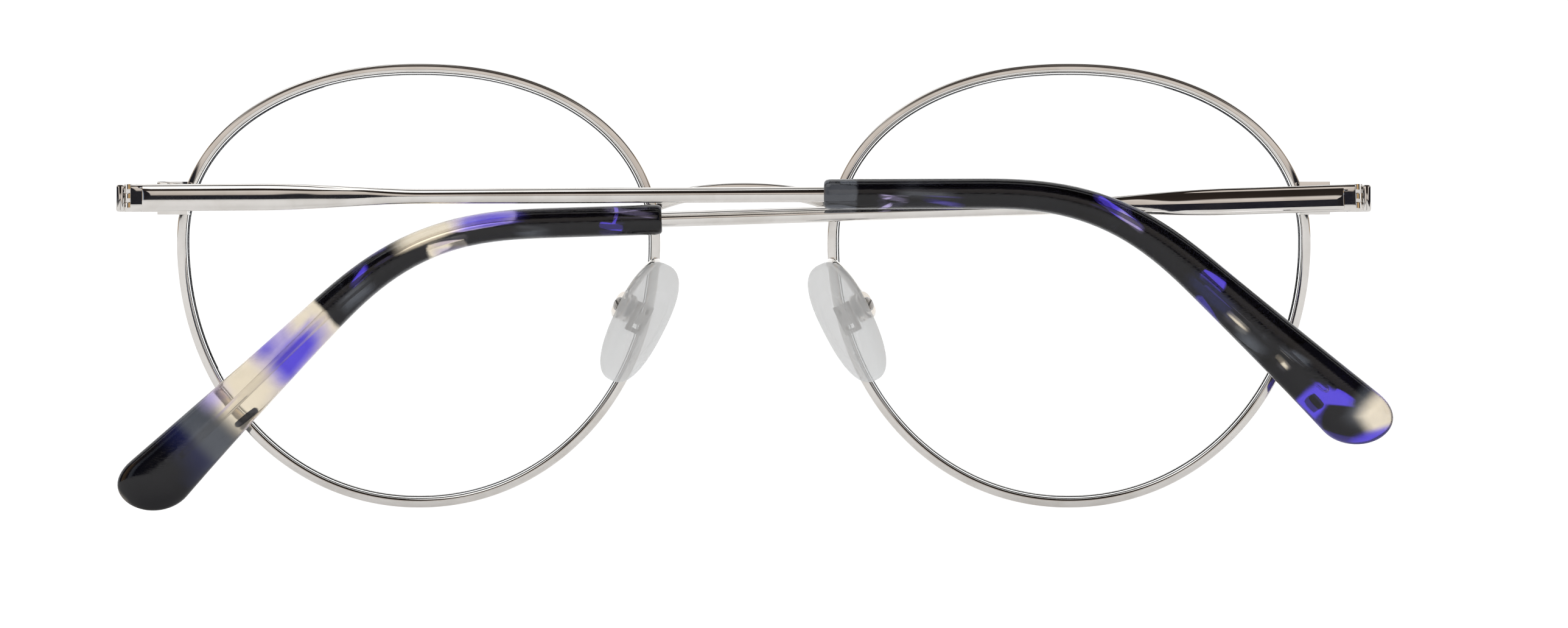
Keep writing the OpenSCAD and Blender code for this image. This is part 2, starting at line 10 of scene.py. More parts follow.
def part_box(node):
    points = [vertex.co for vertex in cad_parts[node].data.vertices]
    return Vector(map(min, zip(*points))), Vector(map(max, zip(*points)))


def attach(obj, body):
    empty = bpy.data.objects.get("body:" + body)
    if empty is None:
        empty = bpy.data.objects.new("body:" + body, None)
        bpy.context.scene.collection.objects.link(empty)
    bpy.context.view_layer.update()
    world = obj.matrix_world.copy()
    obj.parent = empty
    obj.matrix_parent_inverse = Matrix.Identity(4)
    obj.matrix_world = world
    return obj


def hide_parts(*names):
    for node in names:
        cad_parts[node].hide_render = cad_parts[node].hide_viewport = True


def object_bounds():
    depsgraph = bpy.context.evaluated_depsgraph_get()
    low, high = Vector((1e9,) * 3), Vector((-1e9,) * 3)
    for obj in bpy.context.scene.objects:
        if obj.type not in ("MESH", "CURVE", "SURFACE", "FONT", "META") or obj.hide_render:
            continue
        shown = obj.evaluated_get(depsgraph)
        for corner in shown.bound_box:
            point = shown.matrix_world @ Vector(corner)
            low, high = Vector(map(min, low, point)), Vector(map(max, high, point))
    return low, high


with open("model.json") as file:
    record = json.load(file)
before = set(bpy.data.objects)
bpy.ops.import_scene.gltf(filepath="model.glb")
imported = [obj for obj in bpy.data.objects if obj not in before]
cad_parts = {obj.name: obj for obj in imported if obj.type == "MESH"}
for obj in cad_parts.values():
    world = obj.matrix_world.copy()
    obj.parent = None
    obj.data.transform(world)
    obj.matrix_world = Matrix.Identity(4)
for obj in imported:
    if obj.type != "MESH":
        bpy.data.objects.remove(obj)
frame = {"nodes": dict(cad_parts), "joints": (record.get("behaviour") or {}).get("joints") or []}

bl_info = {
    "name": "Round Wire Eyeglasses",
    "version": (1, 0, 0),
    "blender": (4, 5, 0),
    "location": "View3D > Sidebar > Eyeglasses",
    "description": "Builds folded round wire eyeglasses piece by piece",
    "category": "Add Mesh",
}

MM = 0.001
SIDES = {"left": 1, "right": -1}
HINGES = {j["name"]: j for j in frame["joints"]}
CAD_BOX = [list(corner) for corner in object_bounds()]


def mm(label, value, description):
    """A length that a user can change, given in millimetres and kept in metres."""
    return FloatProperty(name=label, description=description, default=value * MM, unit="LENGTH", precision=5)


def degrees(label, value, description):
    return FloatProperty(name=label, description=description, default=math.radians(value), unit="ROTATION")


def ratio(label, value, description):
    return FloatProperty(name=label, description=description, default=value)


def tint(label, value, description):
    return FloatVectorProperty(name=label, description=description, default=value, subtype="COLOR",
                               size=3, min=0, max=1)


# ---- Sizes and colours that a user can change ----

class FrontSizes(bpy.types.PropertyGroup):
    lens_width: mm("Lens width", 52, "Width of a lens at the edge of its bevel")
    lens_height: mm("Lens height", 47.7, "Height of a lens at the edge of its bevel")
    lens_gap: mm("Lens gap", 19.6, "Gap between the two lenses at the nose")
    wide_level: mm("Widest level", 4.8, "Height of the lens's widest level above its middle")
    upper_fullness: ratio("Upper fullness", 2.15,
                          "Fullness of the outline above its widest level, 2 is an ellipse")
    lower_fullness: ratio("Lower fullness", 2.05,
                          "Fullness of the outline below its widest level, 2 is an ellipse")
    curve_radius: mm("Lens curve", 130, "Radius of the sphere that lenses and rims curve on")
    lens_thickness: mm("Lens thickness", 1.8, "Thickness of a lens")
    bevel: mm("Bevel", 0.45, "Depth of the bevel round a lens")
    rim_out: mm("Rim wire", 0.6, "Thickness of the rim wire outside the lens edge")
    rim_depth: mm("Rim depth", 1.8, "Depth of the rim wire from front to back")
    bridge_top: mm("Bridge top", 11.3, "Height of the bridge's top above the middle of the lenses")
    bridge_height: mm("Bridge height", 1.4, "Height of the bridge's wire at the nose")
    bridge_radius: mm("Bridge arch", 42, "Radius of the arch along the bridge's top")
    bridge_under: mm("Bridge under arch", 27, "Radius of the arch along the bridge's bottom")
    bridge_depth: mm("Bridge depth", 1.6, "Depth of the bridge from front to back")
    end_height: mm("End piece height", 3, "Height of an end piece")
    end_thickness: mm("End piece thickness", 1, "Thickness of an end piece")
    end_bend: mm("End piece bend", 2.3, "Outer radius of the bend in an end piece")


class TempleSizes(bpy.types.PropertyGroup):
    length: mm("Length", 145, "Length of a temple along its middle from hinge to tip end")
    blade_height: mm("Blade height", 2.95, "Height of a temple at the hinge")
    blade_thickness: mm("Blade thickness", 0.85, "Thickness of a temple at the hinge")
    panel_height: mm("Panel height", 2.3, "Height of the raised panel outside the blade")
    panel_rise: mm("Panel rise", 0.2, "How far the raised panel stands out")
    blade_end: mm("Blade end", 14, "Distance from the hinge to where a temple starts to narrow")
    shaft_start: mm("Shaft start", 32, "Distance from the hinge to where a temple is fully narrow")
    shaft_height: mm("Shaft height", 1.68, "Height of the narrow part of a temple")
    shaft_thickness: mm("Shaft thickness", 1.5, "Thickness of the narrow part of a temple")
    face_gap: mm("Face gap", 1.15, "Distance from the hinge axis out to the temple's inner face")
    left_lift: degrees("Left lift", 2.4, "How far the folded left temple is lifted over the right one")
    left_climb: degrees("Left climb", 0.25, "How far the folded left temple climbs towards its end")
    right_climb: degrees("Right climb", -1.8, "How far the folded right temple climbs towards its end")


class TipSizes(bpy.types.PropertyGroup):
    start: mm("Start", 75.6, "Distance from the hinge to the start of a tip")
    height: mm("Height", 3.3, "Height of a tip at its start")
    thickness: mm("Thickness", 3.2, "Thickness of a tip")
    flare: mm("Flare", 4.4, "How much taller a tip is at its end than at its start")
    bend: degrees("Bend", 42.5, "Angle through which a tip bends down behind the ear")
    left_bend_at: mm("Left bend", 106, "Distance from the hinge to the middle of the left tip's bend")
    right_bend_at: mm("Right bend", 102, "Distance from the hinge to the middle of the right tip's bend")
    bend_length: mm("Bend length", 29, "Length over which a tip bends")
    inset: mm("Inset", 1.5, "How far the end of a tip curves in towards the head")
    core_end: mm("Core end", 137.5, "Distance from the hinge to the end of the metal core")


class PadSizes(bpy.types.PropertyGroup):
    length: mm("Length", 14, "Length of a nose pad")
    width: mm("Width", 7, "Width of a nose pad")
    thickness: mm("Thickness", 2.8, "Thickness of a nose pad")
    turn: degrees("Turn", 42, "Turn of a nose pad from facing back towards facing the nose")
    lean: degrees("Lean", 26, "Lean of a nose pad, with its top nearer the nose")
    stand_off: mm("Stand-off", 3.3, "Distance from the pad screw to the middle of the pad")
    drop: mm("Drop", 0.8, "How far the middle of a pad lies below its screw")
    arm_radius: mm("Arm radius", 0.45, "Radius of the wire in a pad arm")


class Finishes(bpy.types.PropertyGroup):
    plate: tint("Plating", (0.86, 0.84, 0.815), "Polished plating of rims, bridge and temples")
    plate_shade: tint("Plating shade", (0.76, 0.735, 0.70), "Slightly warmer tone within the plating")
    steel: tint("Screw steel", (0.50, 0.49, 0.48), "Turned steel of the screws")
    black: tint("Acetate black", (0.0035, 0.0035, 0.006), "Darkest chips in the acetate")
    violet: tint("Acetate violet", (0.12, 0.08, 0.84), "Violet-blue chips in the acetate")
    navy: tint("Acetate navy", (0.015, 0.018, 0.07), "Ink-blue veils in the acetate")
    lilac: tint("Acetate lilac", (0.58, 0.50, 0.86), "Pale lilac chips in the acetate")
    cream: tint("Acetate cream", (0.98, 0.88, 0.70), "Cream and amber chips in the acetate")
    smoke: tint("Acetate smoke", (0.10, 0.11, 0.13), "Smoky grey veils in the acetate")
    # The silicone tint also colours the faint painted glow of the nose pads.
    silicone: tint("Silicone", (1.0, 1.0, 1.0), "Clear silicone of the nose pads")
    lens: tint("Lens", (0.995, 0.998, 1.0), "Clear lens material")


# ---- Shape helpers ----

def smooth(t):
    t = min(1.0, max(0.0, t))
    return t * t * (3 - 2 * t)


def mix(a, b, t):
    return a + (b - a) * t


def signed_power(value, power):
    return math.copysign(abs(value) ** power, value)


def mirror_matrix(side):
    return Matrix.Diagonal((side, 1, 1, 1))


def skin(rings, loop=False, caps=True):
    """Points and faces of a surface through rings that all have the same number of points."""
    count = len(rings[0])
    points = [p for ring in rings for p in ring]
    spans = len(rings) if loop else len(rings) - 1
    faces = []
    for i in range(spans):
        here, there = i * count, (i + 1) % len(rings) * count
        for j in range(count):
            k = (j + 1) % count
            faces.append((here + j, there + j, there + k, here + k))
    if caps and not loop:
        faces.append(tuple(range(count)))
        faces.append(tuple((len(rings) - 1) * count + j for j in reversed(range(count))))
    return points, faces


def make_piece(name, shape, matrix=None, crease=32):
    """A mesh object from points and faces, smooth except along edges sharper than the crease angle."""
    mesh = bpy.data.meshes.new(name)
    mesh.from_pydata([tuple(p) for p in shape[0]], [], shape[1])
    piece = bpy.data.objects.new(name, mesh)
    bpy.context.scene.collection.objects.link(piece)
    if matrix is not None:
        mesh.transform(matrix)
    tidy_mesh(mesh, crease)
    return piece


def tidy_mesh(mesh, crease):
    """Faces turned outwards and shaded smooth, with real corners kept crisp."""
    grid = bmesh.new()
    grid.from_mesh(mesh)
    bmesh.ops.remove_doubles(grid, verts=grid.verts, dist=1e-6 * 0.5)
    bmesh.ops.recalc_face_normals(grid, faces=grid.faces)
    limit = math.radians(crease)
    for edge in grid.edges:
        edge.smooth = edge.is_manifold and edge.calc_face_angle(0) < limit
    for face in grid.faces:
        face.smooth = True
    grid.to_mesh(mesh)
    grid.free()


def bake_modifiers(piece):
    """Replaces a piece's mesh by what its modifiers make of it."""
    bpy.context.view_layer.update()
    depsgraph = bpy.context.evaluated_depsgraph_get()
    mesh = bpy.data.meshes.new_from_object(piece.evaluated_get(depsgraph))
    piece.modifiers.clear()
    piece.data = mesh


def carve(piece, cutter):
    """Cuts one piece with another, which is then thrown away."""
    cut = piece.modifiers.new("cut", "BOOLEAN")
    cut.operation = "DIFFERENCE"
    cut.solver = "EXACT"
    cut.object = cutter
    bake_modifiers(piece)
    bpy.data.objects.remove(cutter)
    if not piece.data.polygons:
        raise RuntimeError(piece.name + " has nothing left after a cut")


def machined(name, node, radius, corner=28):
    """A copy of a CAD node with every corner rounded, as tumbling and polishing leaves it."""
    mesh = frame["nodes"][node].data.copy()
    mesh.materials.clear()
    grid = bmesh.new()
    grid.from_mesh(mesh)
    bmesh.ops.remove_doubles(grid, verts=grid.verts, dist=2e-6)
    bmesh.ops.dissolve_degenerate(grid, dist=1e-6, edges=grid.edges)
    bmesh.ops.dissolve_limit(grid, angle_limit=math.radians(1.5), verts=grid.verts, edges=grid.edges)
    bmesh.ops.recalc_face_normals(grid, faces=grid.faces)
    grid.to_mesh(mesh)
    grid.free()
    piece = bpy.data.objects.new(name, mesh)
    bpy.context.scene.collection.objects.link(piece)
    bevel = piece.modifiers.new("round", "BEVEL")
    bevel.width = radius
    bevel.segments = 3
    bevel.limit_method = "ANGLE"
    bevel.angle_limit = math.radians(corner)
    bake_modifiers(piece)
    tidy_mesh(piece.data, 34)
    return piece


def place(piece, body, slot, material, *nodes):
    """Gives a piece its finish and its body, and hides the CAD nodes that it stands for."""
    piece.data.materials.clear()
    piece.data.materials.append(material)
    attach(piece, body)
    if nodes:
        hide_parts(*nodes)


def outset(points, distance):
    """A closed outline in a plane moved outwards along its own normals, run anticlockwise."""
    moved = []
    for i, (a, b) in enumerate(points):
        before, after = points[i - 1], points[(i + 1) % len(points)]
        da, db = after[0] - before[0], after[1] - before[1]
        length = math.hypot(da, db)
        moved.append((a + distance * db / length, b - distance * da / length))
    return moved


def slab(outline, low, high, radius, steps=4):
    """A flat part with rounded edges, from an anticlockwise outline and its two heights."""
    rings = []
    quarter = [math.pi / 2 * k / steps for k in range(steps + 1)]
    for level, turn in ((low, 1), (high, -1)):
        for angle in quarter if turn == 1 else reversed(quarter):
            inset = radius * (1 - math.sin(angle))
            rise = radius * (1 - math.cos(angle))
            rings.append([(a, level + turn * rise, b) for a, b in outset(outline, -inset)])
    return skin(rings)


def lathe(profile, count=40):
    """Rings turned about Z through a profile of radius and height."""
    return skin([[(r * math.cos(2 * math.pi * j / count), r * math.sin(2 * math.pi * j / count), z)
                  for j in range(count)] for r, z in profile])


# ---- Rims, lenses and bridge ----

class LensShape:
    """Outline and curve that the lenses, the rims and what joins them share."""

    def __init__(self, sizes):
        self.sizes = sizes
        self.centre = sizes.lens_gap / 2 + sizes.lens_width / 2
        self.half = sizes.lens_width / 2
        self.up = sizes.lens_height / 2 - sizes.wide_level
        self.down = sizes.lens_height / 2 + sizes.wide_level

    def outline(self, t):
        upper = math.sin(t) >= 0
        height = self.up if upper else self.down
        power = self.sizes.upper_fullness if upper else self.sizes.lower_fullness
        r = (abs(math.cos(t) / self.half) ** power + abs(math.sin(t) / height) ** power) ** (-1 / power)
        return Vector((r * math.cos(t), self.sizes.wide_level + r * math.sin(t)))

    def outward(self, t):
        d = self.outline(t + 0.001) - self.outline(t - 0.001)
        return Vector((d.y, -d.x)).normalized()

    def edge(self, t, out):
        return self.outline(t) + self.outward(t) * out

    def back(self, p):
        r = self.sizes.curve_radius
        return r - math.sqrt(r * r - p.x * p.x - p.y * p.y)

    def split_angle(self, level):
        """The angle on the temple side at which the outline passes a level."""
        low, high = 0.0, math.pi / 2
        for _ in range(40):
            middle = (low + high) / 2
            if self.outline(middle).y < level:
                low = middle
            else:
                high = middle
        return low


def rim_section(sizes):
    """Section of the grooved rim wire as places outwards and back, run round from its groove."""
    out, half, inner = sizes.rim_out, sizes.rim_depth / 2, -sizes.bevel
    round_r, fall, lean = 0.2 * MM, 0.08 * MM, 0.2 * MM
    wide = out - round_r - inner
    face = []
    for k in range(13):
        share = k / 12
        drop = lean * max(0.0, 1 - share / 0.45) ** 1.8 + fall * (0.6 * share + 0.4 * share ** 3)
        face.append((inner + wide * share, half - drop))
    corner = []
    for k in range(1, 9):
        angle = math.radians(90 * k / 8)
        corner.append((out - round_r + round_r * math.sin(angle),
                       half - fall - round_r * (1 - math.cos(angle))))
    back = face + corner
    front = [(u, -v) for u, v in back]
    return [(0, 0), (inner, inner)] + front + list(reversed(back)) + [(inner, -inner)]


def build_rims(finish):
    front = bpy.context.scene.front_sizes
    shape = LensShape(front)
    level = HINGES["temple_fold_left"]["pos_m"][2]
    split = shape.split_angle(level)
    gap = 0.1 * MM / shape.half
    section = rim_section(front)
    for side_name, side in SIDES.items():
        rings = []
        steps = 420
        for i in range(steps + 1):
            t = split + gap + i * (2 * math.pi - 2 * gap) / steps
            p, o = shape.outline(t), shape.outward(t)
            y = shape.back(p)
            rings.append([(p.x + u * o.x, y + v, p.y + u * o.y) for u, v in section])
        matrix = mirror_matrix(side) @ Matrix.Translation((shape.centre, 0, 0))
        rim = make_piece("rim_wire_" + side_name, skin(rings), matrix, crease=20)
        place(rim, "front", "polished_metal", finish, "rim_" + side_name)


def build_lenses(glass):
    front = bpy.context.scene.front_sizes
    shape = LensShape(front)
    play = 0.03 * MM
    steps = 240
    zones = [0.02, 0.12, 0.24, 0.36, 0.48, 0.6, 0.72, 0.84, 0.93, 0.985, 1]
    half = front.lens_thickness / 2

    def ring(share, inset, y):
        points = []
        for i in range(steps):
            t = 2 * math.pi * i / steps
            p = shape.edge(t, -inset) * share
            back = shape.back(p if share < 1 else shape.outline(t))
            points.append((p.x, back + y, p.y))
        return points

    for side_name, side in SIDES.items():
        edge = front.bevel + play
        chamfer = 0.02 * MM
        rings = [ring(k, edge, -half) for k in zones[:-1]]
        rings += [ring(1, edge + chamfer, -half), ring(1, edge, chamfer - half), ring(1, edge, -front.bevel)]
        rings += [ring(1, play, 0), ring(1, edge, front.bevel), ring(1, edge, half - chamfer)]
        rings += [ring(1, edge + chamfer, half)] + [ring(k, edge, half) for k in reversed(zones[:-1])]
        matrix = mirror_matrix(side) @ Matrix.Translation((shape.centre, 0, 0))
        lens = make_piece("lens_glass_" + side_name, skin(rings), matrix, crease=20)
        place(lens, "front", "clear_lens", glass, "lens_" + side_name)


def build_bridge(finish):
    front = bpy.context.scene.front_sizes
    shape = LensShape(front)
    half = front.lens_gap / 2 + 0.7 * MM
    steps = 60
    top_centre = front.bridge_top - front.bridge_radius
    low_centre = front.bridge_top - front.bridge_height - front.bridge_under

    def arch(x, centre, radius):
        return centre + math.sqrt(radius * radius - x * x)

    xs = [mix(-half, half, i / steps) for i in range(steps + 1)]
    lower = [(x, arch(x, low_centre, front.bridge_under)) for x in xs]
    upper = [(x, arch(x, top_centre, front.bridge_radius)) for x in xs]
    low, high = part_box("bridge")
    middle = (low.y + high.y) / 2
    outline = lower + list(reversed(upper))
    bridge = make_piece("bridge_wire", slab(outline, middle - front.bridge_depth / 2,
                                            middle + front.bridge_depth / 2, 0.22 * MM, 6))
    for side in SIDES.values():
        rings = []
        for y in (-4 * MM, 9 * MM):
            rings.append([])
            for i in range(180):
                p = shape.edge(2 * math.pi * i / 180, front.rim_out - 0.04 * MM)
                rings[-1].append((p.x, y, p.y))
        plug = make_piece("plug", skin(rings), mirror_matrix(side) @ Matrix.Translation((shape.centre, 0, 0)))
        carve(bridge, plug)
    tidy_mesh(bridge.data, 30)
    place(bridge, "front", "polished_metal", finish, "bridge")


# ---- End pieces, rim locks and hinges ----

def build_end_pieces(finish):
    front = bpy.context.scene.front_sizes
    shape = LensShape(front)
    for side_name, side in SIDES.items():
        low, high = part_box("end_piece_" + side_name)
        level = (low.z + high.z) / 2
        outer = max(abs(low.x), abs(high.x))
        front_y, stop_y = low.y, high.y
        bend, thick = front.end_bend, front.end_thickness
        split = shape.split_angle(level)
        start = shape.centre + shape.edge(split, front.rim_out).x - 0.25 * MM
        path = [(start, front_y + thick / 2, 0), (outer - bend, front_y + thick / 2, 0)]
        middle_r = bend - thick / 2
        for k in range(1, 19):
            turn = math.radians(5 * k)
            path.append((outer - bend + middle_r * math.sin(turn),
                         front_y + bend - middle_r * math.cos(turn), turn))
        path += [(outer - thick / 2, stop_y - back, math.pi / 2) for back in (0.32 * MM, 0.16 * MM,
                                                                              0.05 * MM, 0)]
        rings = []
        for k, (x, y, turn) in enumerate(path):
            trim = (0.02, 0.09, 0.24)[k - len(path) + 3] * MM if k > len(path) - 4 else 0
            half_h, half_t, corner = front.end_height / 2 - trim, thick / 2 - trim, 0.28 * MM
            ring = []
            for quarter, (sh, st) in enumerate(((1, 1), (-1, 1), (-1, -1), (1, -1))):
                for step in range(5):
                    angle = math.pi / 2 * (quarter + step / 4)
                    rise = sh * (half_h - corner) + corner * math.cos(angle)
                    out = st * (half_t - corner) + corner * math.sin(angle)
                    ring.append((x + out * math.sin(turn), y - out * math.cos(turn), level + rise))
            rings.append(ring)
        strap = make_piece("end_strap_" + side_name, skin(rings), mirror_matrix(side))
        place(strap, "front", "polished_metal", finish, "end_piece_" + side_name)


def screw(name, matrix, radius, length, head_radius, head_height):
    """A slotted screw with a domed head, its head's top at zero and its shank going down."""
    profile = [(radius * 0.02, -length), (radius * 0.8, -length), (radius, -length + 0.08 * MM),
               (radius, -head_height), (head_radius * 0.97, -head_height), (head_radius, -head_height * 0.85)]
    for k in range(1, 9):
        angle = math.pi / 2 * k / 8
        profile.append((max(0.02, math.cos(angle) ** 0.6) * head_radius,
                        head_height * (-0.55 + 0.5 * math.sin(angle))))
    piece = make_piece(name, lathe(profile), crease=30)
    wide, deep = head_radius * 0.14, head_height * 0.55
    box = [(-wide, -deep), (wide, -deep), (wide, 1 * MM), (-wide, 1 * MM)]
    rings = [[(x, a, b) for a, b in box] for x in (-2 * head_radius, 2 * head_radius)]
    carve(piece, make_piece("slot_cutter", skin(rings)))
    piece.data.transform(matrix)
    tidy_mesh(piece.data, 30)
    return piece


def hinge_matrix(side_name):
    temples = bpy.context.scene.temple_sizes
    joint = HINGES["temple_fold_" + side_name]
    climb = temples.left_climb if side_name == "left" else temples.right_climb
    x, y, z = joint["pos_m"]
    return mirror_matrix(SIDES[side_name]) @ Matrix.Translation((abs(x), y, z)) @ Matrix.Rotation(climb, 4,
                                                                                                  "Y")


def temple_matrix(side_name):
    lift = bpy.context.scene.temple_sizes.left_lift if side_name == "left" else 0
    return hinge_matrix(side_name) @ Matrix.Rotation(-lift, 4, "Z")


def build_locks(finish, steel):
    for side_name, side in SIDES.items():
        for part in ("upper", "lower"):
            lock = machined("lock_%s_%s" % (part, side_name), "rim_lock_%s_%s" % (part, side_name), 0.12 * MM)
            place(lock, "front", "polished_metal", finish, "rim_lock_%s_%s" % (part, side_name))
        low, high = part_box("rim_lock_screw_" + side_name)
        at = Matrix.Translation(((low.x + high.x) / 2, (low.y + high.y) / 2, high.z))
        piece = screw("lock_screw_" + side_name, at @ Matrix.Rotation(0.5 * side, 4, "Z"), 0.45 * MM,
                      high.z - low.z,
                      (high.x - low.x) / 2, 0.48 * MM)
        place(piece, "front", "screw_steel", steel, "rim_lock_screw_" + side_name)


def build_hinges(finish, steel):
    for side_name in SIDES:
        for part, body in (("front_hinge", "front"), ("temple_hinge", "temple_arm_" + side_name)):
            leaf = machined(part + "_leaf_" + side_name, part + "_" + side_name, 0.09 * MM)
            place(leaf, body, "polished_metal", finish, part + "_" + side_name)
        at = hinge_matrix(side_name) @ Matrix.Translation((0, 0, 1.5 * MM)) @ Matrix.Rotation(0.9, 4, "Z")
        piece = screw("hinge_pin_" + side_name, at, 0.45 * MM, 3 * MM, 0.75 * MM, 0.38 * MM)
        place(piece, "front", "screw_steel", steel, "hinge_screw_" + side_name)


# ---- Temples and tips ----

class TempleLine:
    """The middle line of a temple, which runs straight and then bends down behind the ear."""

    def __init__(self, side_name):
        scene = bpy.context.scene
        self.temple, self.tip = scene.temple_sizes, scene.tip_sizes
        self.panel_lean = (0.0, 0.03, 0.48) if side_name == "left" else (0.15, 0.14, 0.2)
        self.bend_at = self.tip.left_bend_at if side_name == "left" else self.tip.right_bend_at
        self.step = 0.5 * MM
        self.places = [(0.0, 0.0)]
        count = int(self.temple.length / self.step) + 6
        for i in range(count):
            angle = self.slope((i + 0.5) * self.step)
            x, z = self.places[-1]
            self.places.append((x + self.step * math.cos(angle), z + self.step * math.sin(angle)))

    def slope(self, s):
        return self.tip.bend * smooth((s - self.bend_at) / self.tip.bend_length + 0.5)

    def at(self, s):
        if s <= 0:
            return s, 0.0
        i = min(int(s / self.step), len(self.places) - 2)
        share = s / self.step - i
        a, b = self.places[i], self.places[i + 1]
        return mix(a[0], b[0], share), mix(a[1], b[1], share)

    def inward(self, s):
        if s < self.tip.start:
            return 0.0
        return self.tip.inset * ((s - self.tip.start) / (self.temple.length - self.tip.start)) ** 2

    def point(self, s, y, rise, out, shear=0.0):
        angle, (x, z) = self.slope(s), self.at(s)
        along = shear * rise
        return (-(x + rise * math.sin(angle) + along * math.cos(angle)), y - self.inward(s) + out,
                -z + rise * math.cos(angle) - along * math.sin(angle))

    def metal(self, s):
        """Height, thickness and squareness of the metal at a distance from the hinge."""
        t, tip = self.temple, self.tip
        if s > tip.start - 1 * MM:
            share = smooth((s - tip.start) / (6 * MM))
            end = max(0.0, (s - tip.start) / (tip.core_end - tip.start))
            return (mix(t.shaft_height, mix(1.5, 0.9, end) * MM, share),
                    mix(t.shaft_thickness, mix(1.2, 0.8, end) * MM, share), 2.1)
        share = smooth((s - t.blade_end) / (t.shaft_start - t.blade_end))
        return (mix(t.blade_height, t.shaft_height, share), mix(t.blade_thickness, t.shaft_thickness, share),
                mix(6, 2.1, share))


def temple_ring(line, s, y, panel, scale=1.0):
    """One ring of a temple: a rounded bar with the raised panel on its outer side."""
    height, thick, square = line.metal(s)
    height, thick = height * scale, thick * scale
    t = line.temple
    narrow = smooth((s - t.blade_end) / (t.shaft_start - 6 * MM - t.blade_end))
    edge = mix(t.panel_height / t.blade_height, 0.66, narrow)
    lean, dome, crown = (v * MM for v in line.panel_lean)
    soft = 0.04
    outer = [math.cos(math.pi / 2 * k / 9) for k in range(9)]
    outer = [max(edge + soft, 1 - (1 - u) * (1 - edge - soft)) for u in outer]
    flat = [edge - soft - 2 * (edge - soft) * k / 16 for k in range(17)]
    upper = outer + [edge + soft] + flat + [-(edge + soft)] + [-u for u in reversed(outer)]
    inner = [-math.cos(math.pi * k / 20) for k in range(1, 20)]
    ring = []
    for u in upper:
        out = thick / 2 * max(0.0, 1 - abs(u) ** square) ** (1 / square)
        if abs(u) < edge and panel:
            raised = thick / 2 + t.panel_rise - lean * u - dome * u * u - crown * abs(u) ** 4.5
            raised = min(raised, thick / 2 + t.panel_rise)
            out = mix(out, raised, panel / t.panel_rise)
        ring.append(line.point(s, y, u * height / 2, out))
    for u in inner:
        out = -thick / 2 * max(0.0, 1 - abs(u) ** square) ** (1 / square)
        ring.append(line.point(s, y, u * height / 2, out))
    return ring


def build_temples(finish):
    t, tip = bpy.context.scene.temple_sizes, bpy.context.scene.tip_sizes
    for side_name in SIDES:
        line = TempleLine(side_name)
        panel_start, panel_end = 1.1 * MM, t.shaft_start - 6 * MM
        stations = [(-0.2, 0, 0.93), (-0.16, 0, 0.98), (-0.1, 0, 1), (0.5, 0, 1), (1.08, 0, 1)]
        stations = [(s * MM, panel, scale) for s, panel, scale in stations]
        stations.append((panel_start + 0.03 * MM, t.panel_rise * 0.8, 1))
        s = panel_start + 0.1 * MM
        while s < panel_end:
            fade = 1 - smooth((s - panel_end + 7 * MM) / (7 * MM))
            stations.append((s, t.panel_rise * fade, 1))
            s += 0.9 * MM
        s = panel_end
        while s < tip.core_end - 1.2 * MM:
            stations.append((s, 0, 1))
            s += 1.0 * MM
        for k in range(1, 7):
            share = k / 6
            stations.append((tip.core_end - 1.0 * MM * (1 - share), 0,
                             math.sqrt(max(0.004, 1 - share * share))))
        rings = []
        for s, panel, scale in stations:
            thick = line.metal(s)[1]
            y = t.face_gap + (thick if s <= t.shaft_start else t.shaft_thickness) / 2
            rings.append(temple_ring(line, s, y, panel, scale))
        temple = make_piece("temple_bar_" + side_name, skin(rings), temple_matrix(side_name), crease=40)
        place(temple, "temple_arm_" + side_name, "polished_metal", finish, "temple_" + side_name)


def build_tips(materials):
    t, tip = bpy.context.scene.temple_sizes, bpy.context.scene.tip_sizes
    start_round, end_round = 0.8 * MM, 4.2 * MM
    flare_start, shear_length = 96 * MM, 14 * MM
    corners, fullness = 48, 2.6
    for side_name in SIDES:
        line = TempleLine(side_name)
        stations = []
        for k in range(7):
            share = k / 6
            stations.append((tip.start + start_round * share, 0.82 + 0.18 * math.sqrt(1 - (1 - share) ** 2)))
        s = tip.start + start_round + 1 * MM
        end_start = t.length - end_round
        while s < end_start - 0.4 * MM:
            stations.append((s, 1))
            s += 1.2 * MM
        for k in range(15):
            angle = math.pi / 2 * k / 14
            stations.append((end_start + end_round * math.sin(angle), max(0.04, math.cos(angle))))
        rings = []
        for s, share in stations:
            flared = max(0.0, (s - flare_start) / (t.length - flare_start)) ** 1.7
            height = (tip.height + tip.flare * flared) * share
            thick = tip.thickness * share
            shear = 0.3 * smooth((s - t.length + shear_length) / shear_length)
            ring = []
            for k in range(corners):
                angle = 2 * math.pi * k / corners
                rise = height / 2 * signed_power(math.sin(angle), 2 / fullness)
                out = thick / 2 * signed_power(math.cos(angle), 2 / fullness)
                ring.append(line.point(s, t.face_gap + t.shaft_thickness / 2, rise, out, shear))
            rings.append(ring)
        piece = make_piece("acetate_tip_" + side_name, skin(rings), temple_matrix(side_name), crease=60)
        place(piece, "temple_arm_" + side_name, "mottled_acetate", materials[side_name],
              "temple_tip_" + side_name)


# ---- Nose pads ----

def pad_matrix(side_name):
    pads = bpy.context.scene.pad_sizes
    joint = HINGES["pad_rock_" + side_name]
    x, y, z = joint["pos_m"]
    return (mirror_matrix(SIDES[side_name]) @ Matrix.Translation((abs(x), y, z))
            @ Matrix.Rotation(-pads.lean, 4, "Y") @ Matrix.Rotation(pads.turn, 4, "Z"))


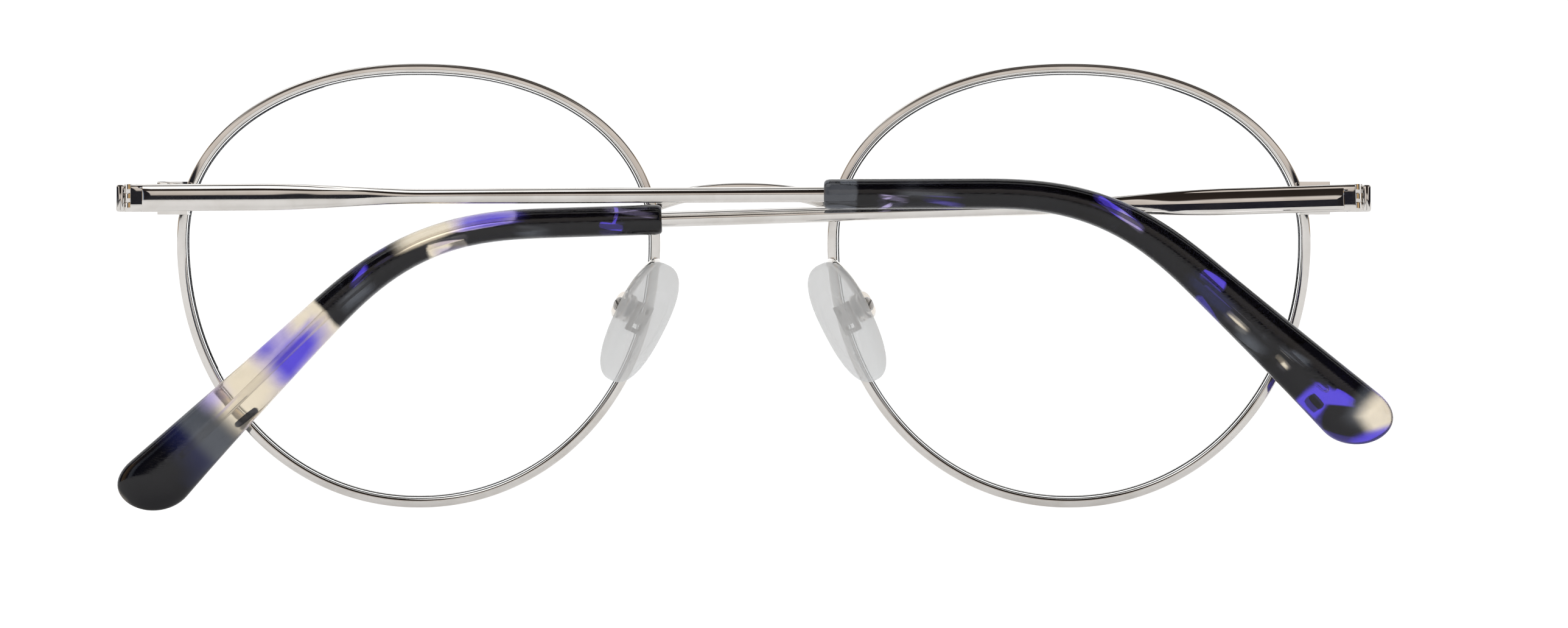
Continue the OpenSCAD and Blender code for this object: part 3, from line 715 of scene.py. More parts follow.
def build_pads(silicone, finish, steel):
    pads = bpy.context.scene.pad_sizes
    count = 72
    for side_name, side in SIDES.items():
        rings = []
        for i in range(61):
            angle = -math.pi / 2 + math.pi * i / 60
            thick = signed_power(math.sin(angle), 2 / 2.8)
            wide = max(0.012, math.cos(angle) ** (2 / 3.2))
            ring = []
            for j in range(count):
                t = -2 * math.pi * j / count
                x, z = signed_power(math.cos(t), 0.8), signed_power(math.sin(t), 0.8)
                narrow = 1 + 0.06 * z
                y = pads.stand_off + thick * pads.thickness / 2
                if thick < 0:
                    y += 0.22 * MM * smooth((0.64 - wide) / 0.07)
                else:
                    y -= 0.10 * MM * smooth((0.56 - wide) / 0.05)
                ring.append((wide * pads.width / 2 * x * narrow / 1.06, y,
                             wide * pads.length / 2 * z - pads.drop))
            rings.append(ring)
        pad = make_piece("pad_cushion_" + side_name, skin(rings), pad_matrix(side_name), crease=60)
        place(pad, "pad_" + side_name, "clear_silicone", silicone, "nose_pad_" + side_name)
        insert = machined("pad_ladder_" + side_name, "pad_insert_" + side_name, 0.07 * MM)
        place(insert, "pad_" + side_name, "screw_steel", steel, "pad_insert_" + side_name)
        box = machined("pad_cheeks_" + side_name, "pad_box_" + side_name, 0.12 * MM)
        place(box, "front", "polished_metal", finish, "pad_box_" + side_name)
        reach = 0.75 * MM + 0.42 * MM
        at = pad_matrix(side_name) @ Matrix.Translation((reach, 0, 0)) @ Matrix.Rotation(math.pi / 2, 4, "Y")
        pin = screw("pad_pin_" + side_name, at @ Matrix.Rotation(1.1, 4, "Z"), 0.4 * MM, 2.0 * MM, 0.8 * MM,
                    0.4 * MM)
        place(pin, "front", "screw_steel", steel, "pad_screw_" + side_name)
        build_pad_arm(side_name, side, finish)


def build_pad_arm(side_name, side, finish):
    pads = bpy.context.scene.pad_sizes
    x, y, z = HINGES["pad_rock_" + side_name]["pos_m"]
    route = [Vector(p) * MM for p in ((-3.3, -3.85, 4.7), (-3.4, -2.5, 4.9), (-2.9, -1, 4.6),
                                      (-1.7, -0.3, 3.3),
                                      (-0.7, -0.3, 1.9), (-0.1, -0.2, 1.1))]
    line = []
    for i in range(len(route) - 1):
        a, b, c, d = (route[min(max(k, 0), len(route) - 1)] for k in (i - 1, i, i + 1, i + 2))
        for k in range(10):
            t = k / 10
            line.append(b + (c - a) * t / 2 + (2 * a - 5 * b + 4 * c - d) * t * t / 2
                        + (3 * b - a - 3 * c + d) * t ** 3 / 2)
    line.append(route[-1])
    rings = []
    for i, middle in enumerate(line):
        ahead = (line[min(i + 1, len(line) - 1)] - line[max(i - 1, 0)]).normalized()
        u = Vector((1, 0, 0)).cross(ahead).normalized()
        w = ahead.cross(u)
        share = i / (len(line) - 1)
        foot, head = 1 - smooth(share / 0.18), smooth((share - 0.85) / 0.15)
        radius = pads.arm_radius * (1 + 0.35 * foot + 0.25 * head)
        rings.append([middle + radius * (math.cos(a) * u + math.sin(a) * w)
                      for a in (2 * math.pi * j / 28 for j in range(28))])
    matrix = mirror_matrix(side) @ Matrix.Translation((abs(x), y, z))
    arm = make_piece("pad_wire_" + side_name, skin(rings), matrix, crease=50)
    place(arm, "front", "polished_metal", finish, "pad_arm_" + side_name)


# ---- Materials ----

def put(tree, kind, inputs=None, **settings):
    """Adds a node, with its settings and with each input given as a number or taken from another node."""
    node = tree.nodes.new(kind)
    for key, value in settings.items():
        setattr(node, key, value)
    for key, value in (inputs or {}).items():
        socket = node.inputs[key]
        if isinstance(value, bpy.types.NodeSocket):
            tree.links.new(value, socket)
        else:
            socket.default_value = value
    return node


def group(name, inputs, outputs):
    """A shader node group with named inputs and outputs, and its two end nodes."""
    tree = bpy.data.node_groups.new(name, "ShaderNodeTree")
    for label, kind, value in inputs:
        socket = tree.interface.new_socket(name=label, in_out="INPUT", socket_type=kind)
        if value is not None:
            socket.default_value = value
    for label, kind in outputs:
        tree.interface.new_socket(name=label, in_out="OUTPUT", socket_type=kind)
    return tree, tree.nodes.new("NodeGroupInput"), tree.nodes.new("NodeGroupOutput")


def maths(tree, operation, a, b=0.0, c=0.0, clamp=False):
    return put(tree, "ShaderNodeMath", {0: a, 1: b, 2: c}, operation=operation, use_clamp=clamp).outputs[0]


def blend_colour(tree, factor, a, b):
    node = put(tree, "ShaderNodeMix", data_type="RGBA")
    for index, value in ((0, factor), (6, a), (7, b)):
        if isinstance(value, bpy.types.NodeSocket):
            tree.links.new(value, node.inputs[index])
        elif index:
            node.inputs[index].default_value = (*value, 1) if len(value) == 3 else value
        else:
            node.inputs[index].default_value = value
    return node.outputs[2]


def rescale(tree, value, low, high, to_low=0.0, to_high=1.0):
    limits = {"Value": value, "From Min": low, "From Max": high, "To Min": to_low, "To Max": to_high}
    return put(tree, "ShaderNodeMapRange", limits, interpolation_type="SMOOTHSTEP").outputs[0]


def handling_marks():
    """Faint hairlines, dust and finger haze that every handled surface shows."""
    tree, given, result = group("Handling Marks",
                                [("Vector", "NodeSocketVector", None),
                                 ("Hairline Scale", "NodeSocketFloat", 900.0),
                                 ("Haze Scale", "NodeSocketFloat", 160.0)],
                                [("Hairlines", "NodeSocketFloat"), ("Haze", "NodeSocketFloat"),
                                 ("Dust", "NodeSocketFloat")])
    stretch = put(tree, "ShaderNodeVectorMath", {0: given.outputs["Vector"], 1: (1.0, 9.0, 9.0)},
                  operation="MULTIPLY")
    lines = put(tree, "ShaderNodeTexNoise",
                {"Vector": stretch.outputs[0], "Scale": given.outputs["Hairline Scale"],
                                             "Detail": 3.0, "Roughness": 0.6})
    haze = put(tree, "ShaderNodeTexNoise",
               {"Vector": given.outputs["Vector"], "Scale": given.outputs["Haze Scale"],
                                            "Detail": 4.0, "Roughness": 0.55, "Distortion": 0.4})
    dust = put(tree, "ShaderNodeTexVoronoi", {"Vector": given.outputs["Vector"],
                                              "Scale": given.outputs["Hairline Scale"]})
    tree.links.new(rescale(tree, lines.outputs[0], 0.45, 0.75), result.inputs["Hairlines"])
    tree.links.new(rescale(tree, haze.outputs[0], 0.35, 0.75), result.inputs["Haze"])
    tree.links.new(rescale(tree, dust.outputs["Distance"], 0.16, 0.05), result.inputs["Dust"])
    return tree


def acetate_chip():
    """A chip of coloured acetate: a mask round a place, with a ragged, angular or soft edge."""
    tree, given, result = group("Acetate Chip",
                                [("Vector", "NodeSocketVector", None), ("Place", "NodeSocketVector", None),
                                 ("Turn", "NodeSocketFloat", 0.0), ("Size", "NodeSocketVector", None),
                                 ("Ragged", "NodeSocketFloat", 0.3), ("Softness", "NodeSocketFloat", 0.1),
                                 ("Warp", "NodeSocketColor", None), ("Facets", "NodeSocketColor", None)],
                                [("Mask", "NodeSocketFloat")])
    offset = put(tree, "ShaderNodeVectorMath", {0: given.outputs["Vector"], 1: given.outputs["Place"]},
                 operation="SUBTRACT")
    turned = put(tree, "ShaderNodeVectorRotate",
                 {"Vector": offset.outputs[0], "Angle": given.outputs["Turn"]},
                 rotation_type="Y_AXIS")
    shared = put(tree, "ShaderNodeVectorMath", {0: turned.outputs[0], 1: given.outputs["Size"]},
                 operation="DIVIDE")
    axes = put(tree, "ShaderNodeSeparateXYZ", {0: shared.outputs[0]}).outputs
    corners = maths(tree, "MAXIMUM", maths(tree, "ABSOLUTE", axes[0]), maths(tree, "ABSOLUTE", axes[2]))
    away = put(tree, "ShaderNodeVectorMath", {0: shared.outputs[0]}, operation="LENGTH").outputs["Value"]
    away = maths(tree, "MULTIPLY_ADD", corners, 0.65, maths(tree, "MULTIPLY", away, 0.4))
    wobble = maths(tree, "SUBTRACT", put(tree, "ShaderNodeSeparateColor",
                                         {0: given.outputs["Warp"]}).outputs[0], 0.5)
    corner = maths(tree, "SUBTRACT", put(tree, "ShaderNodeSeparateColor",
                                         {0: given.outputs["Facets"]}).outputs[1], 0.5)
    both = maths(tree, "ADD", maths(tree, "MULTIPLY", wobble, 2.4), maths(tree, "MULTIPLY", corner, 0.5))
    edge = maths(tree, "MULTIPLY_ADD", both, given.outputs["Ragged"], away)
    high = maths(tree, "ADD", given.outputs["Softness"], 1.0)
    low = maths(tree, "SUBTRACT", 1.0, given.outputs["Softness"])
    tree.links.new(rescale(tree, edge, high, low), result.inputs["Mask"])
    return tree


def surface(name):
    """A new material with its principled shader."""
    material = bpy.data.materials.new(name)
    material.use_nodes = True
    tree = material.node_tree
    shader = next(n for n in tree.nodes if n.type == "BSDF_PRINCIPLED")
    return material, tree, shader


def group_node(tree, groups, name, inputs=None):
    node = put(tree, "ShaderNodeGroup", node_tree=groups[name])
    for key, value in (inputs or {}).items():
        if isinstance(value, bpy.types.NodeSocket):
            tree.links.new(value, node.inputs[key])
        else:
            node.inputs[key].default_value = value
    return node


def polished_metal(groups, finishes):
    material, tree, shader = surface("polished_plating")
    where = put(tree, "ShaderNodeTexCoord").outputs["Object"]
    marks = group_node(tree, groups, "Handling Marks", {"Vector": where, "Hairline Scale": 1500.0,
                                                        "Haze Scale": 220.0})
    colour = blend_colour(tree, marks.outputs["Haze"], finishes.plate, finishes.plate_shade)
    tree.links.new(colour, shader.inputs["Base Color"])
    shader.inputs["Metallic"].default_value = 1.0
    rough = maths(tree, "MULTIPLY_ADD", marks.outputs["Haze"], 0.02, 0.03)
    rough = maths(tree, "MULTIPLY_ADD", marks.outputs["Hairlines"], 0.008, rough)
    tree.links.new(rough, shader.inputs["Roughness"])
    bump = put(tree, "ShaderNodeBump",
               {"Strength": 0.01, "Distance": 0.000001, "Height": marks.outputs["Hairlines"]})
    tree.links.new(bump.outputs[0], shader.inputs["Normal"])
    return material


def turned_steel(groups, finishes):
    material, tree, shader = surface("turned_steel")
    where = put(tree, "ShaderNodeTexCoord").outputs["Object"]
    marks = group_node(tree, groups, "Handling Marks", {"Vector": where, "Hairline Scale": 2600.0,
                                                        "Haze Scale": 700.0})
    darker = tuple(0.7 * c for c in finishes.steel)
    tree.links.new(blend_colour(tree, marks.outputs["Haze"], finishes.steel, darker),
                   shader.inputs["Base Color"])
    shader.inputs["Metallic"].default_value = 1.0
    tree.links.new(maths(tree, "MULTIPLY_ADD", marks.outputs["Hairlines"], 0.14, 0.16),
                   shader.inputs["Roughness"])
    bump = put(tree, "ShaderNodeBump",
               {"Strength": 0.3, "Distance": 0.00002, "Height": marks.outputs["Hairlines"]})
    tree.links.new(bump.outputs[0], shader.inputs["Normal"])
    return material


# How ragged and how soft the edge of a chip is
CHIP_EDGES = {"crisp": (0.1, 0.08), "soft": (0.1, 0.4), "misty": (0.25, 0.7)}
# Chips of each tip, laid one over the other on a black ground: colour, edge, distance in mm from the start of
# the tip and up from its middle line, half length and half width in mm, and tilt from the line in degrees.
LEFT_CHIPS = [
    ("smoke", "crisp", 1.5, 0, 2.2, 3, 0),
    ("lilac", "soft", 7.5, -0.5, 1.4, 0.25, 10),
    ("lilac", "soft", 6.5, -1.5, 0.8, 0.2, -25),
    ("violet", "misty", 13, -1, 1.6, 0.2, 10),
    ("smoke", "misty", 11, 0, 2.6, 0.5, 5),
    ("violet", "crisp", 32, 0.5, 3.4, 0.5, 10),
    ("lilac", "soft", 33.5, 0.2, 1.6, 0.4, 10),
    ("violet", "crisp", 33, -2.8, 2, 0.8, 5),
    ("violet", "crisp", 44.5, 0.4, 1.6, 0.7, -10),
    ("navy", "soft", 45.5, -0.6, 3, 0.9, 0),
    ("violet", "crisp", 45.5, -2.7, 0.7, 0.7, -10),
    ("violet", "crisp", 47, -2.8, 3, 0.7, 15),
    ("cream", "soft", 49.5, -1, 1.4, 0.25, 0),
    ("cream", "soft", 56, -1, 0.9, 0.3, 5),
    ("smoke", "misty", 52, -1.8, 1.6, 0.7, 0),
    ("smoke", "misty", 56.5, 0.4, 1.6, 0.4, -10),
    ("violet", "crisp", 64, -2.5, 4.4, 3.3, 0),
    ("violet", "crisp", 63.5, 0.3, 1.4, 0.9, -10),
    ("black", "crisp", 65.5, -1, 3, 1.7, -30),
    ("black", "crisp", 61.5, -1.7, 1, 0.5, 5),
    ("smoke", "misty", 66, 1.4, 1.4, 1.9, -10),
    ("cream", "soft", 68, 2, 2.4, 2.2, 0),
    ("violet", "soft", 69, -0.5, 3.2, 1.1, -60),
]
RIGHT_CHIPS = [
    ("violet", "crisp", 5.5, -0.6, 1.4, 0.4, 10),
    ("violet", "crisp", 5, 0.3, 0.2, 1.1, 20),
    ("lilac", "soft", 3.5, 0.9, 2.4, 0.3, 10),
    ("smoke", "misty", 14, -1, 1.6, 0.5, 10),
    ("lilac", "crisp", 19.7, 0.9, 4.2, 1, 0),
    ("violet", "misty", 19, 0.6, 3, 0.45, 0),
    ("cream", "soft", 25.5, 1, 3.6, 1, 0),
    ("cream", "crisp", 24, -1.4, 2.4, 1, 10),
    ("lilac", "misty", 23.7, -1.6, 1.5, 0.4, 10),
    ("violet", "soft", 31, 2, 1.1, 0.5, 5),
    ("violet", "soft", 34, 0.6, 1.3, 0.3, -15),
    ("smoke", "misty", 35.5, -0.6, 1.8, 0.7, 0),
    ("cream", "crisp", 43, 1.3, 4, 4.6, 0),
    ("lilac", "soft", 47, 1.8, 3.8, 4.6, 0),
    ("violet", "soft", 46, -0.8, 5.4, 1.3, -5),
    ("violet", "misty", 48, 2.4, 2, 1.2, 0),
    ("cream", "soft", 52, 0.9, 4.2, 4.4, 0),
    ("lilac", "misty", 56, 2.4, 2.6, 1.3, 0),
    ("black", "crisp", 53.5, -2, 1.7, 0.4, 5),
    ("smoke", "soft", 59, 0, 3.6, 5, 0),
    ("navy", "soft", 61.5, 1, 2.2, 4.6, 0),
    ("black", "soft", 66, 2, 5, 5.2, 0),
    ("cream", "soft", 70, 2.7, 2.2, 0.8, 90),
]


def chip_seat(side_name, along, across):
    """Where a chip lies in its tip, and how far the tip's middle line slopes there."""
    line, matrix = TempleLine(side_name), temple_matrix(side_name)
    middle = line.temple.face_gap + line.temple.shaft_thickness / 2
    seats = [matrix @ Vector(line.point(line.tip.start + along * MM + further, middle, across * MM, 0))
             for further in (0, line.step)]
    way = seats[1] - seats[0]
    return seats[0], math.atan(way.z / way.x)


def mottled_acetate(groups, finishes, side_name, chips):
    """Black acetate with chips of violet, lilac, cream and smoke, some clear enough to see through."""
    material, tree, shader = surface("mottled_acetate_" + side_name)
    where = put(tree, "ShaderNodeTexCoord").outputs["Object"]
    warp = put(tree, "ShaderNodeTexNoise", {"Vector": where, "Scale": 300.0, "Detail": 2.0, "Roughness": 0.5})
    facets = put(tree, "ShaderNodeTexVoronoi", {"Vector": where, "Scale": 620.0})
    veil = put(tree, "ShaderNodeTexNoise",
               {"Vector": where, "Scale": 190.0, "Detail": 5.0, "Distortion": 1.2})
    colours = {key: tuple(getattr(finishes, key)) for key in ("black", "violet", "lilac", "cream", "smoke",
                                                              "navy")}
    ground = blend_colour(tree, rescale(tree, veil.outputs[0], 0.60, 0.80, 0.0, 0.35), colours["black"],
                          colours["smoke"])
    depth = 6 * MM
    for colour, edge, along, across, long, wide, tilt in chips:
        seat, slope = chip_seat(side_name, along, across)
        ragged, softness = CHIP_EDGES[edge]
        chip = group_node(tree, groups, "Acetate Chip",
                          {"Vector": where, "Place": seat, "Turn": slope + math.radians(tilt),
                           "Size": (long * MM, depth, wide * MM), "Ragged": ragged, "Softness": softness,
                           "Warp": warp.outputs["Color"], "Facets": facets.outputs["Color"]})
        ground = blend_colour(tree, chip.outputs["Mask"], ground, colours[colour])
    cloud = rescale(tree, veil.outputs[0], 0.35, 0.65, 0.86, 1.0)
    tone = put(tree, "ShaderNodeVectorMath", {0: ground}, operation="SCALE")
    tree.links.new(cloud, tone.inputs["Scale"])
    tree.links.new(tone.outputs[0], shader.inputs["Base Color"])
    marks = group_node(tree, groups, "Handling Marks", {"Vector": where, "Hairline Scale": 1100.0,
                                                        "Haze Scale": 260.0})
    tree.links.new(maths(tree, "MULTIPLY_ADD", marks.outputs["Haze"], 0.07, 0.05), shader.inputs["Roughness"])
    bump = put(tree, "ShaderNodeBump",
               {"Strength": 0.08, "Distance": 0.00002, "Height": marks.outputs["Hairlines"]})
    tree.links.new(bump.outputs[0], shader.inputs["Normal"])
    shader.inputs["Transmission Weight"].default_value = 0.8
    shader.inputs["IOR"].default_value = 1.49
    return material

def clear_silicone(groups, finishes):
    material, tree, shader = surface("clear_silicone")
    where = put(tree, "ShaderNodeTexCoord").outputs["Object"]
    marks = group_node(tree, groups, "Handling Marks", {"Vector": where, "Hairline Scale": 900.0,
                                                        "Haze Scale": 420.0})
    clouded = tuple(0.96 * c for c in finishes.silicone)
    tone = blend_colour(tree, marks.outputs["Haze"], finishes.silicone, clouded)
    tree.links.new(tone, shader.inputs["Base Color"])
    tree.links.new(maths(tree, "MULTIPLY_ADD", marks.outputs["Haze"], 0.05, 0.01), shader.inputs["Roughness"])
    bump = put(tree, "ShaderNodeBump",
               {"Strength": 0.05, "Distance": 0.00002, "Height": marks.outputs["Haze"]})
    tree.links.new(bump.outputs[0], shader.inputs["Normal"])
    # The pads glow faintly in their own tone: painted light that makes the frosted pads brighter than the
    # lamps leave them.
    tree.links.new(tone, shader.inputs["Emission Color"])
    shader.inputs["Emission Strength"].default_value = 0.04
    shader.inputs["Transmission Weight"].default_value = 0.84
    shader.inputs["IOR"].default_value = 1.33
    return material


def lens_glass(groups, finishes):
    material, tree, shader = surface("lens_glass")
    where = put(tree, "ShaderNodeTexCoord").outputs["Object"]
    marks = group_node(tree, groups, "Handling Marks",
                       {"Vector": where, "Hairline Scale": 500.0, "Haze Scale": 60.0})
    edge_blue = tuple(c * k for c, k in zip(finishes.lens, (0.985, 0.992, 1.0)))
    tree.links.new(blend_colour(tree, marks.outputs["Haze"], finishes.lens, edge_blue),
                   shader.inputs["Base Color"])
    tree.links.new(maths(tree, "MULTIPLY_ADD", marks.outputs["Dust"], 0.004, 0.0), shader.inputs["Roughness"])
    shader.inputs["Transmission Weight"].default_value = 1.0
    shader.inputs["IOR"].default_value = 1.5
    shader.inputs["Specular Tint"].default_value = (0.75, 0.82, 1.0, 1.0)
    return material


def all_materials():
    """Every finish of the eyeglasses, made once and shared by the pieces."""
    if "polished_plating" in bpy.data.materials:
        return {key: bpy.data.materials[name] for key, name in MATERIAL_NAMES.items()}
    finishes = bpy.context.scene.finishes
    groups = {tree.name: tree for tree in (handling_marks(), acetate_chip())}
    return {
        "metal": polished_metal(groups, finishes),
        "steel": turned_steel(groups, finishes),
        "left": mottled_acetate(groups, finishes, "left", LEFT_CHIPS),
        "right": mottled_acetate(groups, finishes, "right", RIGHT_CHIPS),
        "silicone": clear_silicone(groups, finishes),
        "lens": lens_glass(groups, finishes),
    }


MATERIAL_NAMES = {"metal": "polished_plating", "steel": "turned_steel", "left": "mottled_acetate_left",
                  "right": "mottled_acetate_right", "silicone": "clear_silicone", "lens": "lens_glass"}


# ---- Stage ----

# Brightness of the white that the camera sees behind and under the eyeglasses
SEEN_WHITE = 1.15
# Studio surroundings seen in the metal: degrees round from the camera side over the top, and their brightness
SURROUNDINGS = [(-180, (1.25, 1.25, 1.25)), (-120, (1.1, 1.1, 1.1)), (-90, (0.95, 0.95, 0.95)),
                (-1.0, (0.75, 0.75, 0.75)), (-0.6, (0.03, 0.025, 0.02)),
                (1.3, (0.04, 0.03, 0.028)), (2.2, (0.58, 0.52, 0.475)), (16, (0.74, 0.68, 0.63)),
                (18, (0.03, 0.022, 0.018)), (64, (0.015, 0.013, 0.012)), (68, (0.85, 0.84, 0.83)),
                (79, (0.95, 0.95, 0.95)), (82, (0.03, 0.03, 0.03)), (97, (0.05, 0.045, 0.04)),
                (102, (0.95, 0.95, 0.95)), (180, (1.2, 1.2, 1.2))]
# The same for what faces sideways, from the camera side round to the far side
SIDEWAYS = [(0, (0.66, 0.62, 0.58)), (7, (0.45, 0.47, 0.52)), (10, (0.02, 0.02, 0.025)),
            (36, (0.015, 0.013, 0.015)),
            (39, (0.40, 0.46, 0.56)), (46, (0.62, 0.64, 0.68)), (50, (0.02, 0.02, 0.02)), (60,
                                                                                           (0.5, 0.32, 0.15)),
            (76, (0.72, 0.5, 0.26)), (82, (0.05, 0.04, 0.04)), (97, (0.06, 0.05, 0.05)), (103,
                                                                                          (0.9, 0.9, 0.9)),
            (180, (1.2, 1.2, 1.2))]


def band_ramp(tree, share, stops):
    """A ramp with a colour at each stop, from its lowest to its highest."""
    ramp = put(tree, "ShaderNodeValToRGB", {0: share})
    elements = ramp.color_ramp.elements
    for k, (position, colour) in enumerate(stops):
        element = elements[k] if k < 2 else elements.new(position)
        element.position = position
        element.color = (*colour, 1)
    return ramp.outputs[0]


def straight_seen(tree):
    """One where the camera looks straight at something, or sees it through a clear part."""
    path = put(tree, "ShaderNodeLightPath")
    return maths(tree, "MAXIMUM", path.outputs["Is Camera Ray"], path.outputs["Is Transmission Ray"])


def build_world():
    world = bpy.data.worlds.new("studio")
    bpy.context.scene.world = world
    world.use_nodes = True
    tree = world.node_tree
    tree.nodes.clear()
    direction = put(tree, "ShaderNodeTexCoord").outputs["Generated"]
    axes = put(tree, "ShaderNodeSeparateXYZ", {0: direction}).outputs
    angle = maths(tree, "ARCTAN2", axes[2], axes[1])
    share = maths(tree, "MULTIPLY_ADD", angle, 0.5 / math.pi, 0.5)
    over = band_ramp(tree, share, [((degree + 180) / 360, colour) for degree, colour in SURROUNDINGS])
    off_axis = maths(tree, "ABSOLUTE", axes[0])
    turn = maths(tree, "ARCTAN2", off_axis, axes[1])
    aside = band_ramp(tree, maths(tree, "DIVIDE", turn, math.pi),
                      [(degree / 180, colour) for degree, colour in SIDEWAYS])
    level = maths(tree, "ABSOLUTE", maths(tree, "SUBTRACT", maths(tree, "DEGREES", angle), 0.2))
    dark = maths(tree, "MULTIPLY", rescale(tree, level, 1.9, 1.4), rescale(tree, off_axis, 0.045, 0.07))
    over = blend_colour(tree, dark, over, (0.015, 0.015, 0.022))
    sideways = maths(tree, "SUBTRACT", off_axis, maths(tree, "ABSOLUTE", axes[2]))
    around = blend_colour(tree, rescale(tree, sideways, 0.15, 0.2), over, aside)
    lit = put(tree, "ShaderNodeBackground", {"Color": around, "Strength": 1.0})
    seen = put(tree, "ShaderNodeBackground", {"Color": (1, 1, 1, 1), "Strength": SEEN_WHITE})
    chosen = put(tree, "ShaderNodeMixShader", {0: straight_seen(tree), 1: lit.outputs[0], 2: seen.outputs[0]})
    output = put(tree, "ShaderNodeOutputWorld")
    tree.links.new(chosen.outputs[0], output.inputs["Surface"])


def build_floor(level):
    count, radius = 96, 3.0
    rings = [[(r * math.cos(2 * math.pi * j / count), r * math.sin(2 * math.pi * j / count),
               z) for j in range(count)]
             for r, z in ((radius, level - 0.004), (radius, level), (0.5, level), (0.02, level))]
    floor = make_piece("floor", skin(rings), crease=30)
    material, tree, shader = surface("pale_floor")
    where = put(tree, "ShaderNodeTexCoord").outputs["Object"]
    grain = put(tree, "ShaderNodeTexNoise", {"Vector": where, "Scale": 9.0, "Detail": 3.0})
    shade = blend_colour(tree, grain.outputs[0], (0.80, 0.80, 0.80), (0.84, 0.84, 0.84))
    tree.links.new(shade, shader.inputs["Base Color"])
    tree.links.new(shade, shader.inputs["Emission Color"])
    shader.inputs["Roughness"].default_value = 0.9
    shader.inputs["Emission Strength"].default_value = 0.35
    white = put(tree, "ShaderNodeEmission", {"Color": (1, 1, 1, 1), "Strength": SEEN_WHITE})
    output = next(n for n in tree.nodes if n.type == "OUTPUT_MATERIAL")
    chosen = put(tree, "ShaderNodeMixShader",
                 {0: straight_seen(tree), 1: shader.outputs[0], 2: white.outputs[0]})
    tree.links.new(chosen.outputs[0], output.inputs["Surface"])
    material.cycles.emission_sampling = "NONE"
    floor.data.materials.append(material)


def soft_light(name, place_at, aim, size, power):
    data = bpy.data.lights.new(name, "AREA")
    data.size, data.energy = size, power
    light = bpy.data.objects.new(name, data)
    light.location = place_at
    light.rotation_mode = "QUATERNION"
    light.rotation_quaternion = (Vector(aim) - Vector(place_at)).to_track_quat("-Z", "Y")
    bpy.context.scene.collection.objects.link(light)


def build_camera():
    hinge = HINGES["temple_fold_left"]["pos_m"]
    aim = Vector((-0.00443, hinge[1], -0.0031))
    distance, elevation = 0.6, math.radians(0.5)
    data = bpy.data.cameras.new("camera")
    data.sensor_width = 36
    data.lens = 36 * distance / 0.17173
    data.clip_start, data.clip_end = 0.01, 20
    camera = bpy.data.objects.new("camera", data)
    camera.location = aim + distance * Vector((0, math.cos(elevation), math.sin(elevation)))
    camera.rotation_mode = "QUATERNION"
    camera.rotation_quaternion = (aim - camera.location).to_track_quat("-Z", "Y")
    bpy.context.scene.collection.objects.link(camera)
    bpy.context.scene.camera = camera


# ---- Operators and panel ----

class EYEGLASSES_OT_stage(bpy.types.Operator):
    """Makes the pale floor, the soft studio surroundings and the camera"""
    bl_idname = "eyeglasses.stage"
    bl_label = "Stage"

    def execute(self, context):
        context.scene.view_settings.view_transform = "Standard"
        build_world()
        build_floor(CAD_BOX[0][2] - 0.02 * MM)
        soft_light("key", (0.25, 0.35, 0.55), (0, 0, 0), 0.35, 0.5)
        build_camera()
        return {"FINISHED"}


class EYEGLASSES_OT_rims(bpy.types.Operator):
    """Makes the two grooved rim wires"""
    bl_idname = "eyeglasses.rims"
    bl_label = "Rims"

    def execute(self, context):
        build_rims(all_materials()["metal"])
        return {"FINISHED"}


class EYEGLASSES_OT_lenses(bpy.types.Operator):
    """Makes the two bevelled lenses"""
    bl_idname = "eyeglasses.lenses"
    bl_label = "Lenses"

    def execute(self, context):
        build_lenses(all_materials()["lens"])
        return {"FINISHED"}


class EYEGLASSES_OT_bridge(bpy.types.Operator):
    """Makes the arched bridge between the rims"""
    bl_idname = "eyeglasses.bridge"
    bl_label = "Bridge"

    def execute(self, context):
        build_bridge(all_materials()["metal"])
        return {"FINISHED"}


class EYEGLASSES_OT_end_pieces(bpy.types.Operator):
    """Makes the two bent end pieces"""
    bl_idname = "eyeglasses.end_pieces"
    bl_label = "End pieces"

    def execute(self, context):
        build_end_pieces(all_materials()["metal"])
        return {"FINISHED"}


class EYEGLASSES_OT_rim_locks(bpy.types.Operator):
    """Makes the rim locks and their screws"""
    bl_idname = "eyeglasses.rim_locks"
    bl_label = "Rim locks"

    def execute(self, context):
        finishes = all_materials()
        build_locks(finishes["metal"], finishes["steel"])
        return {"FINISHED"}


class EYEGLASSES_OT_hinges(bpy.types.Operator):
    """Makes the hinge leaves and their screws"""
    bl_idname = "eyeglasses.hinges"
    bl_label = "Hinges"

    def execute(self, context):
        finishes = all_materials()
        build_hinges(finishes["metal"], finishes["steel"])
        return {"FINISHED"}


class EYEGLASSES_OT_temples(bpy.types.Operator):
    """Makes the two temples with their raised panels and metal cores"""
    bl_idname = "eyeglasses.temples"
    bl_label = "Temples"

    def execute(self, context):
        build_temples(all_materials()["metal"])
        return {"FINISHED"}


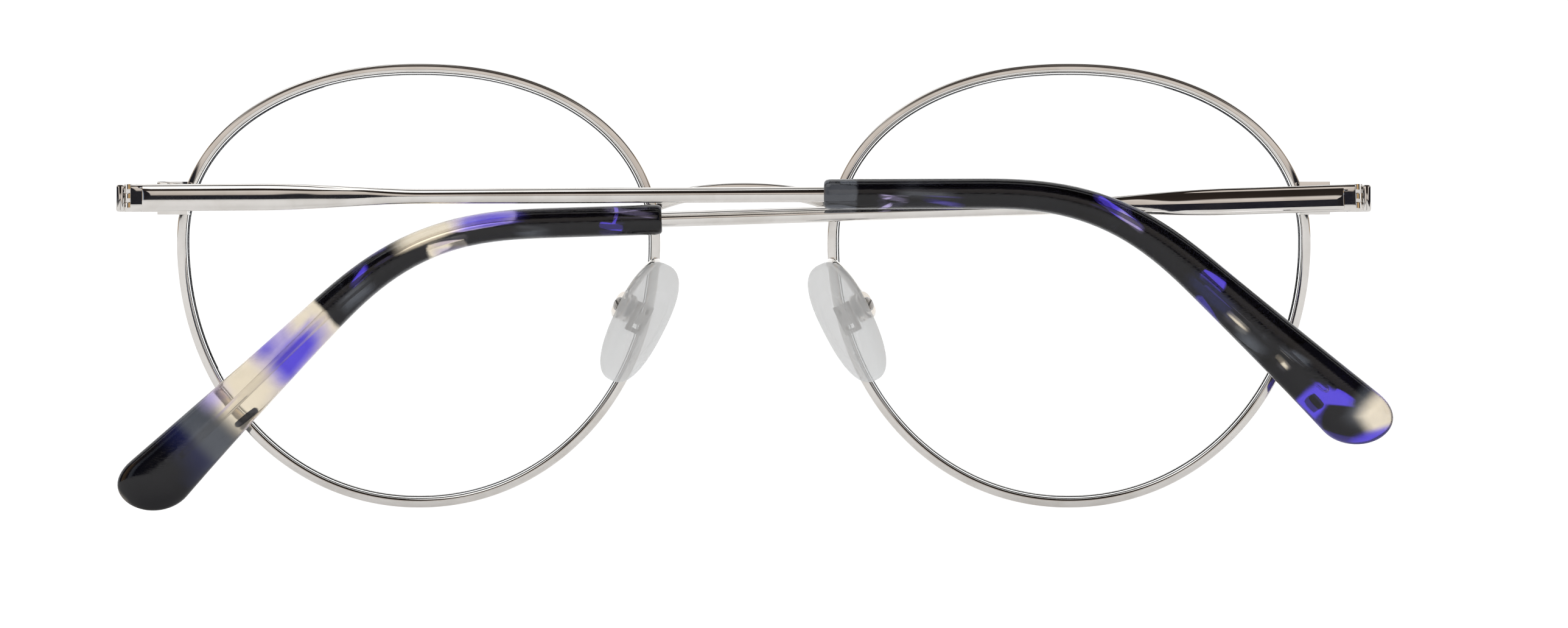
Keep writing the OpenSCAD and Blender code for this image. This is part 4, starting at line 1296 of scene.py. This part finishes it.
class EYEGLASSES_OT_tips(bpy.types.Operator):
    """Makes the two mottled acetate tips"""
    bl_idname = "eyeglasses.tips"
    bl_label = "Temple tips"

    def execute(self, context):
        build_tips(all_materials())
        return {"FINISHED"}


class EYEGLASSES_OT_pads(bpy.types.Operator):
    """Makes the nose pads with their inserts, boxes, screws and arms"""
    bl_idname = "eyeglasses.pads"
    bl_label = "Nose pads"

    def execute(self, context):
        finishes = all_materials()
        build_pads(finishes["silicone"], finishes["metal"], finishes["steel"])
        return {"FINISHED"}


MAKERS = [EYEGLASSES_OT_stage, EYEGLASSES_OT_rims, EYEGLASSES_OT_lenses, EYEGLASSES_OT_bridge,
          EYEGLASSES_OT_end_pieces, EYEGLASSES_OT_rim_locks, EYEGLASSES_OT_hinges, EYEGLASSES_OT_temples,
          EYEGLASSES_OT_tips, EYEGLASSES_OT_pads]


class EYEGLASSES_PT_makers(bpy.types.Panel):
    """Lists a button for each piece of the eyeglasses, and their sizes"""
    bl_idname = "EYEGLASSES_PT_makers"
    bl_label = "Eyeglasses"
    bl_space_type = "VIEW_3D"
    bl_region_type = "UI"
    bl_category = "Eyeglasses"

    def draw(self, context):
        for maker in MAKERS:
            self.layout.operator(maker.bl_idname)
        for name in SETTINGS:
            box = self.layout.box()
            settings = getattr(context.scene, name)
            for key in settings.__annotations__:
                box.prop(settings, key)


SETTINGS = {"front_sizes": FrontSizes, "temple_sizes": TempleSizes, "tip_sizes": TipSizes,
            "pad_sizes": PadSizes,
            "finishes": Finishes}


def register():
    for cls in [*SETTINGS.values(), *MAKERS, EYEGLASSES_PT_makers]:
        bpy.utils.register_class(cls)
    for name, cls in SETTINGS.items():
        setattr(bpy.types.Scene, name, PointerProperty(type=cls))


def unregister():
    for name in SETTINGS:
        delattr(bpy.types.Scene, name)
    for cls in reversed([*SETTINGS.values(), *MAKERS, EYEGLASSES_PT_makers]):
        bpy.utils.unregister_class(cls)


def main():
    register()
    for maker in MAKERS:
        getattr(bpy.ops.eyeglasses, maker.bl_idname.split(".")[1])()


if __name__ == "__main__":
    main()
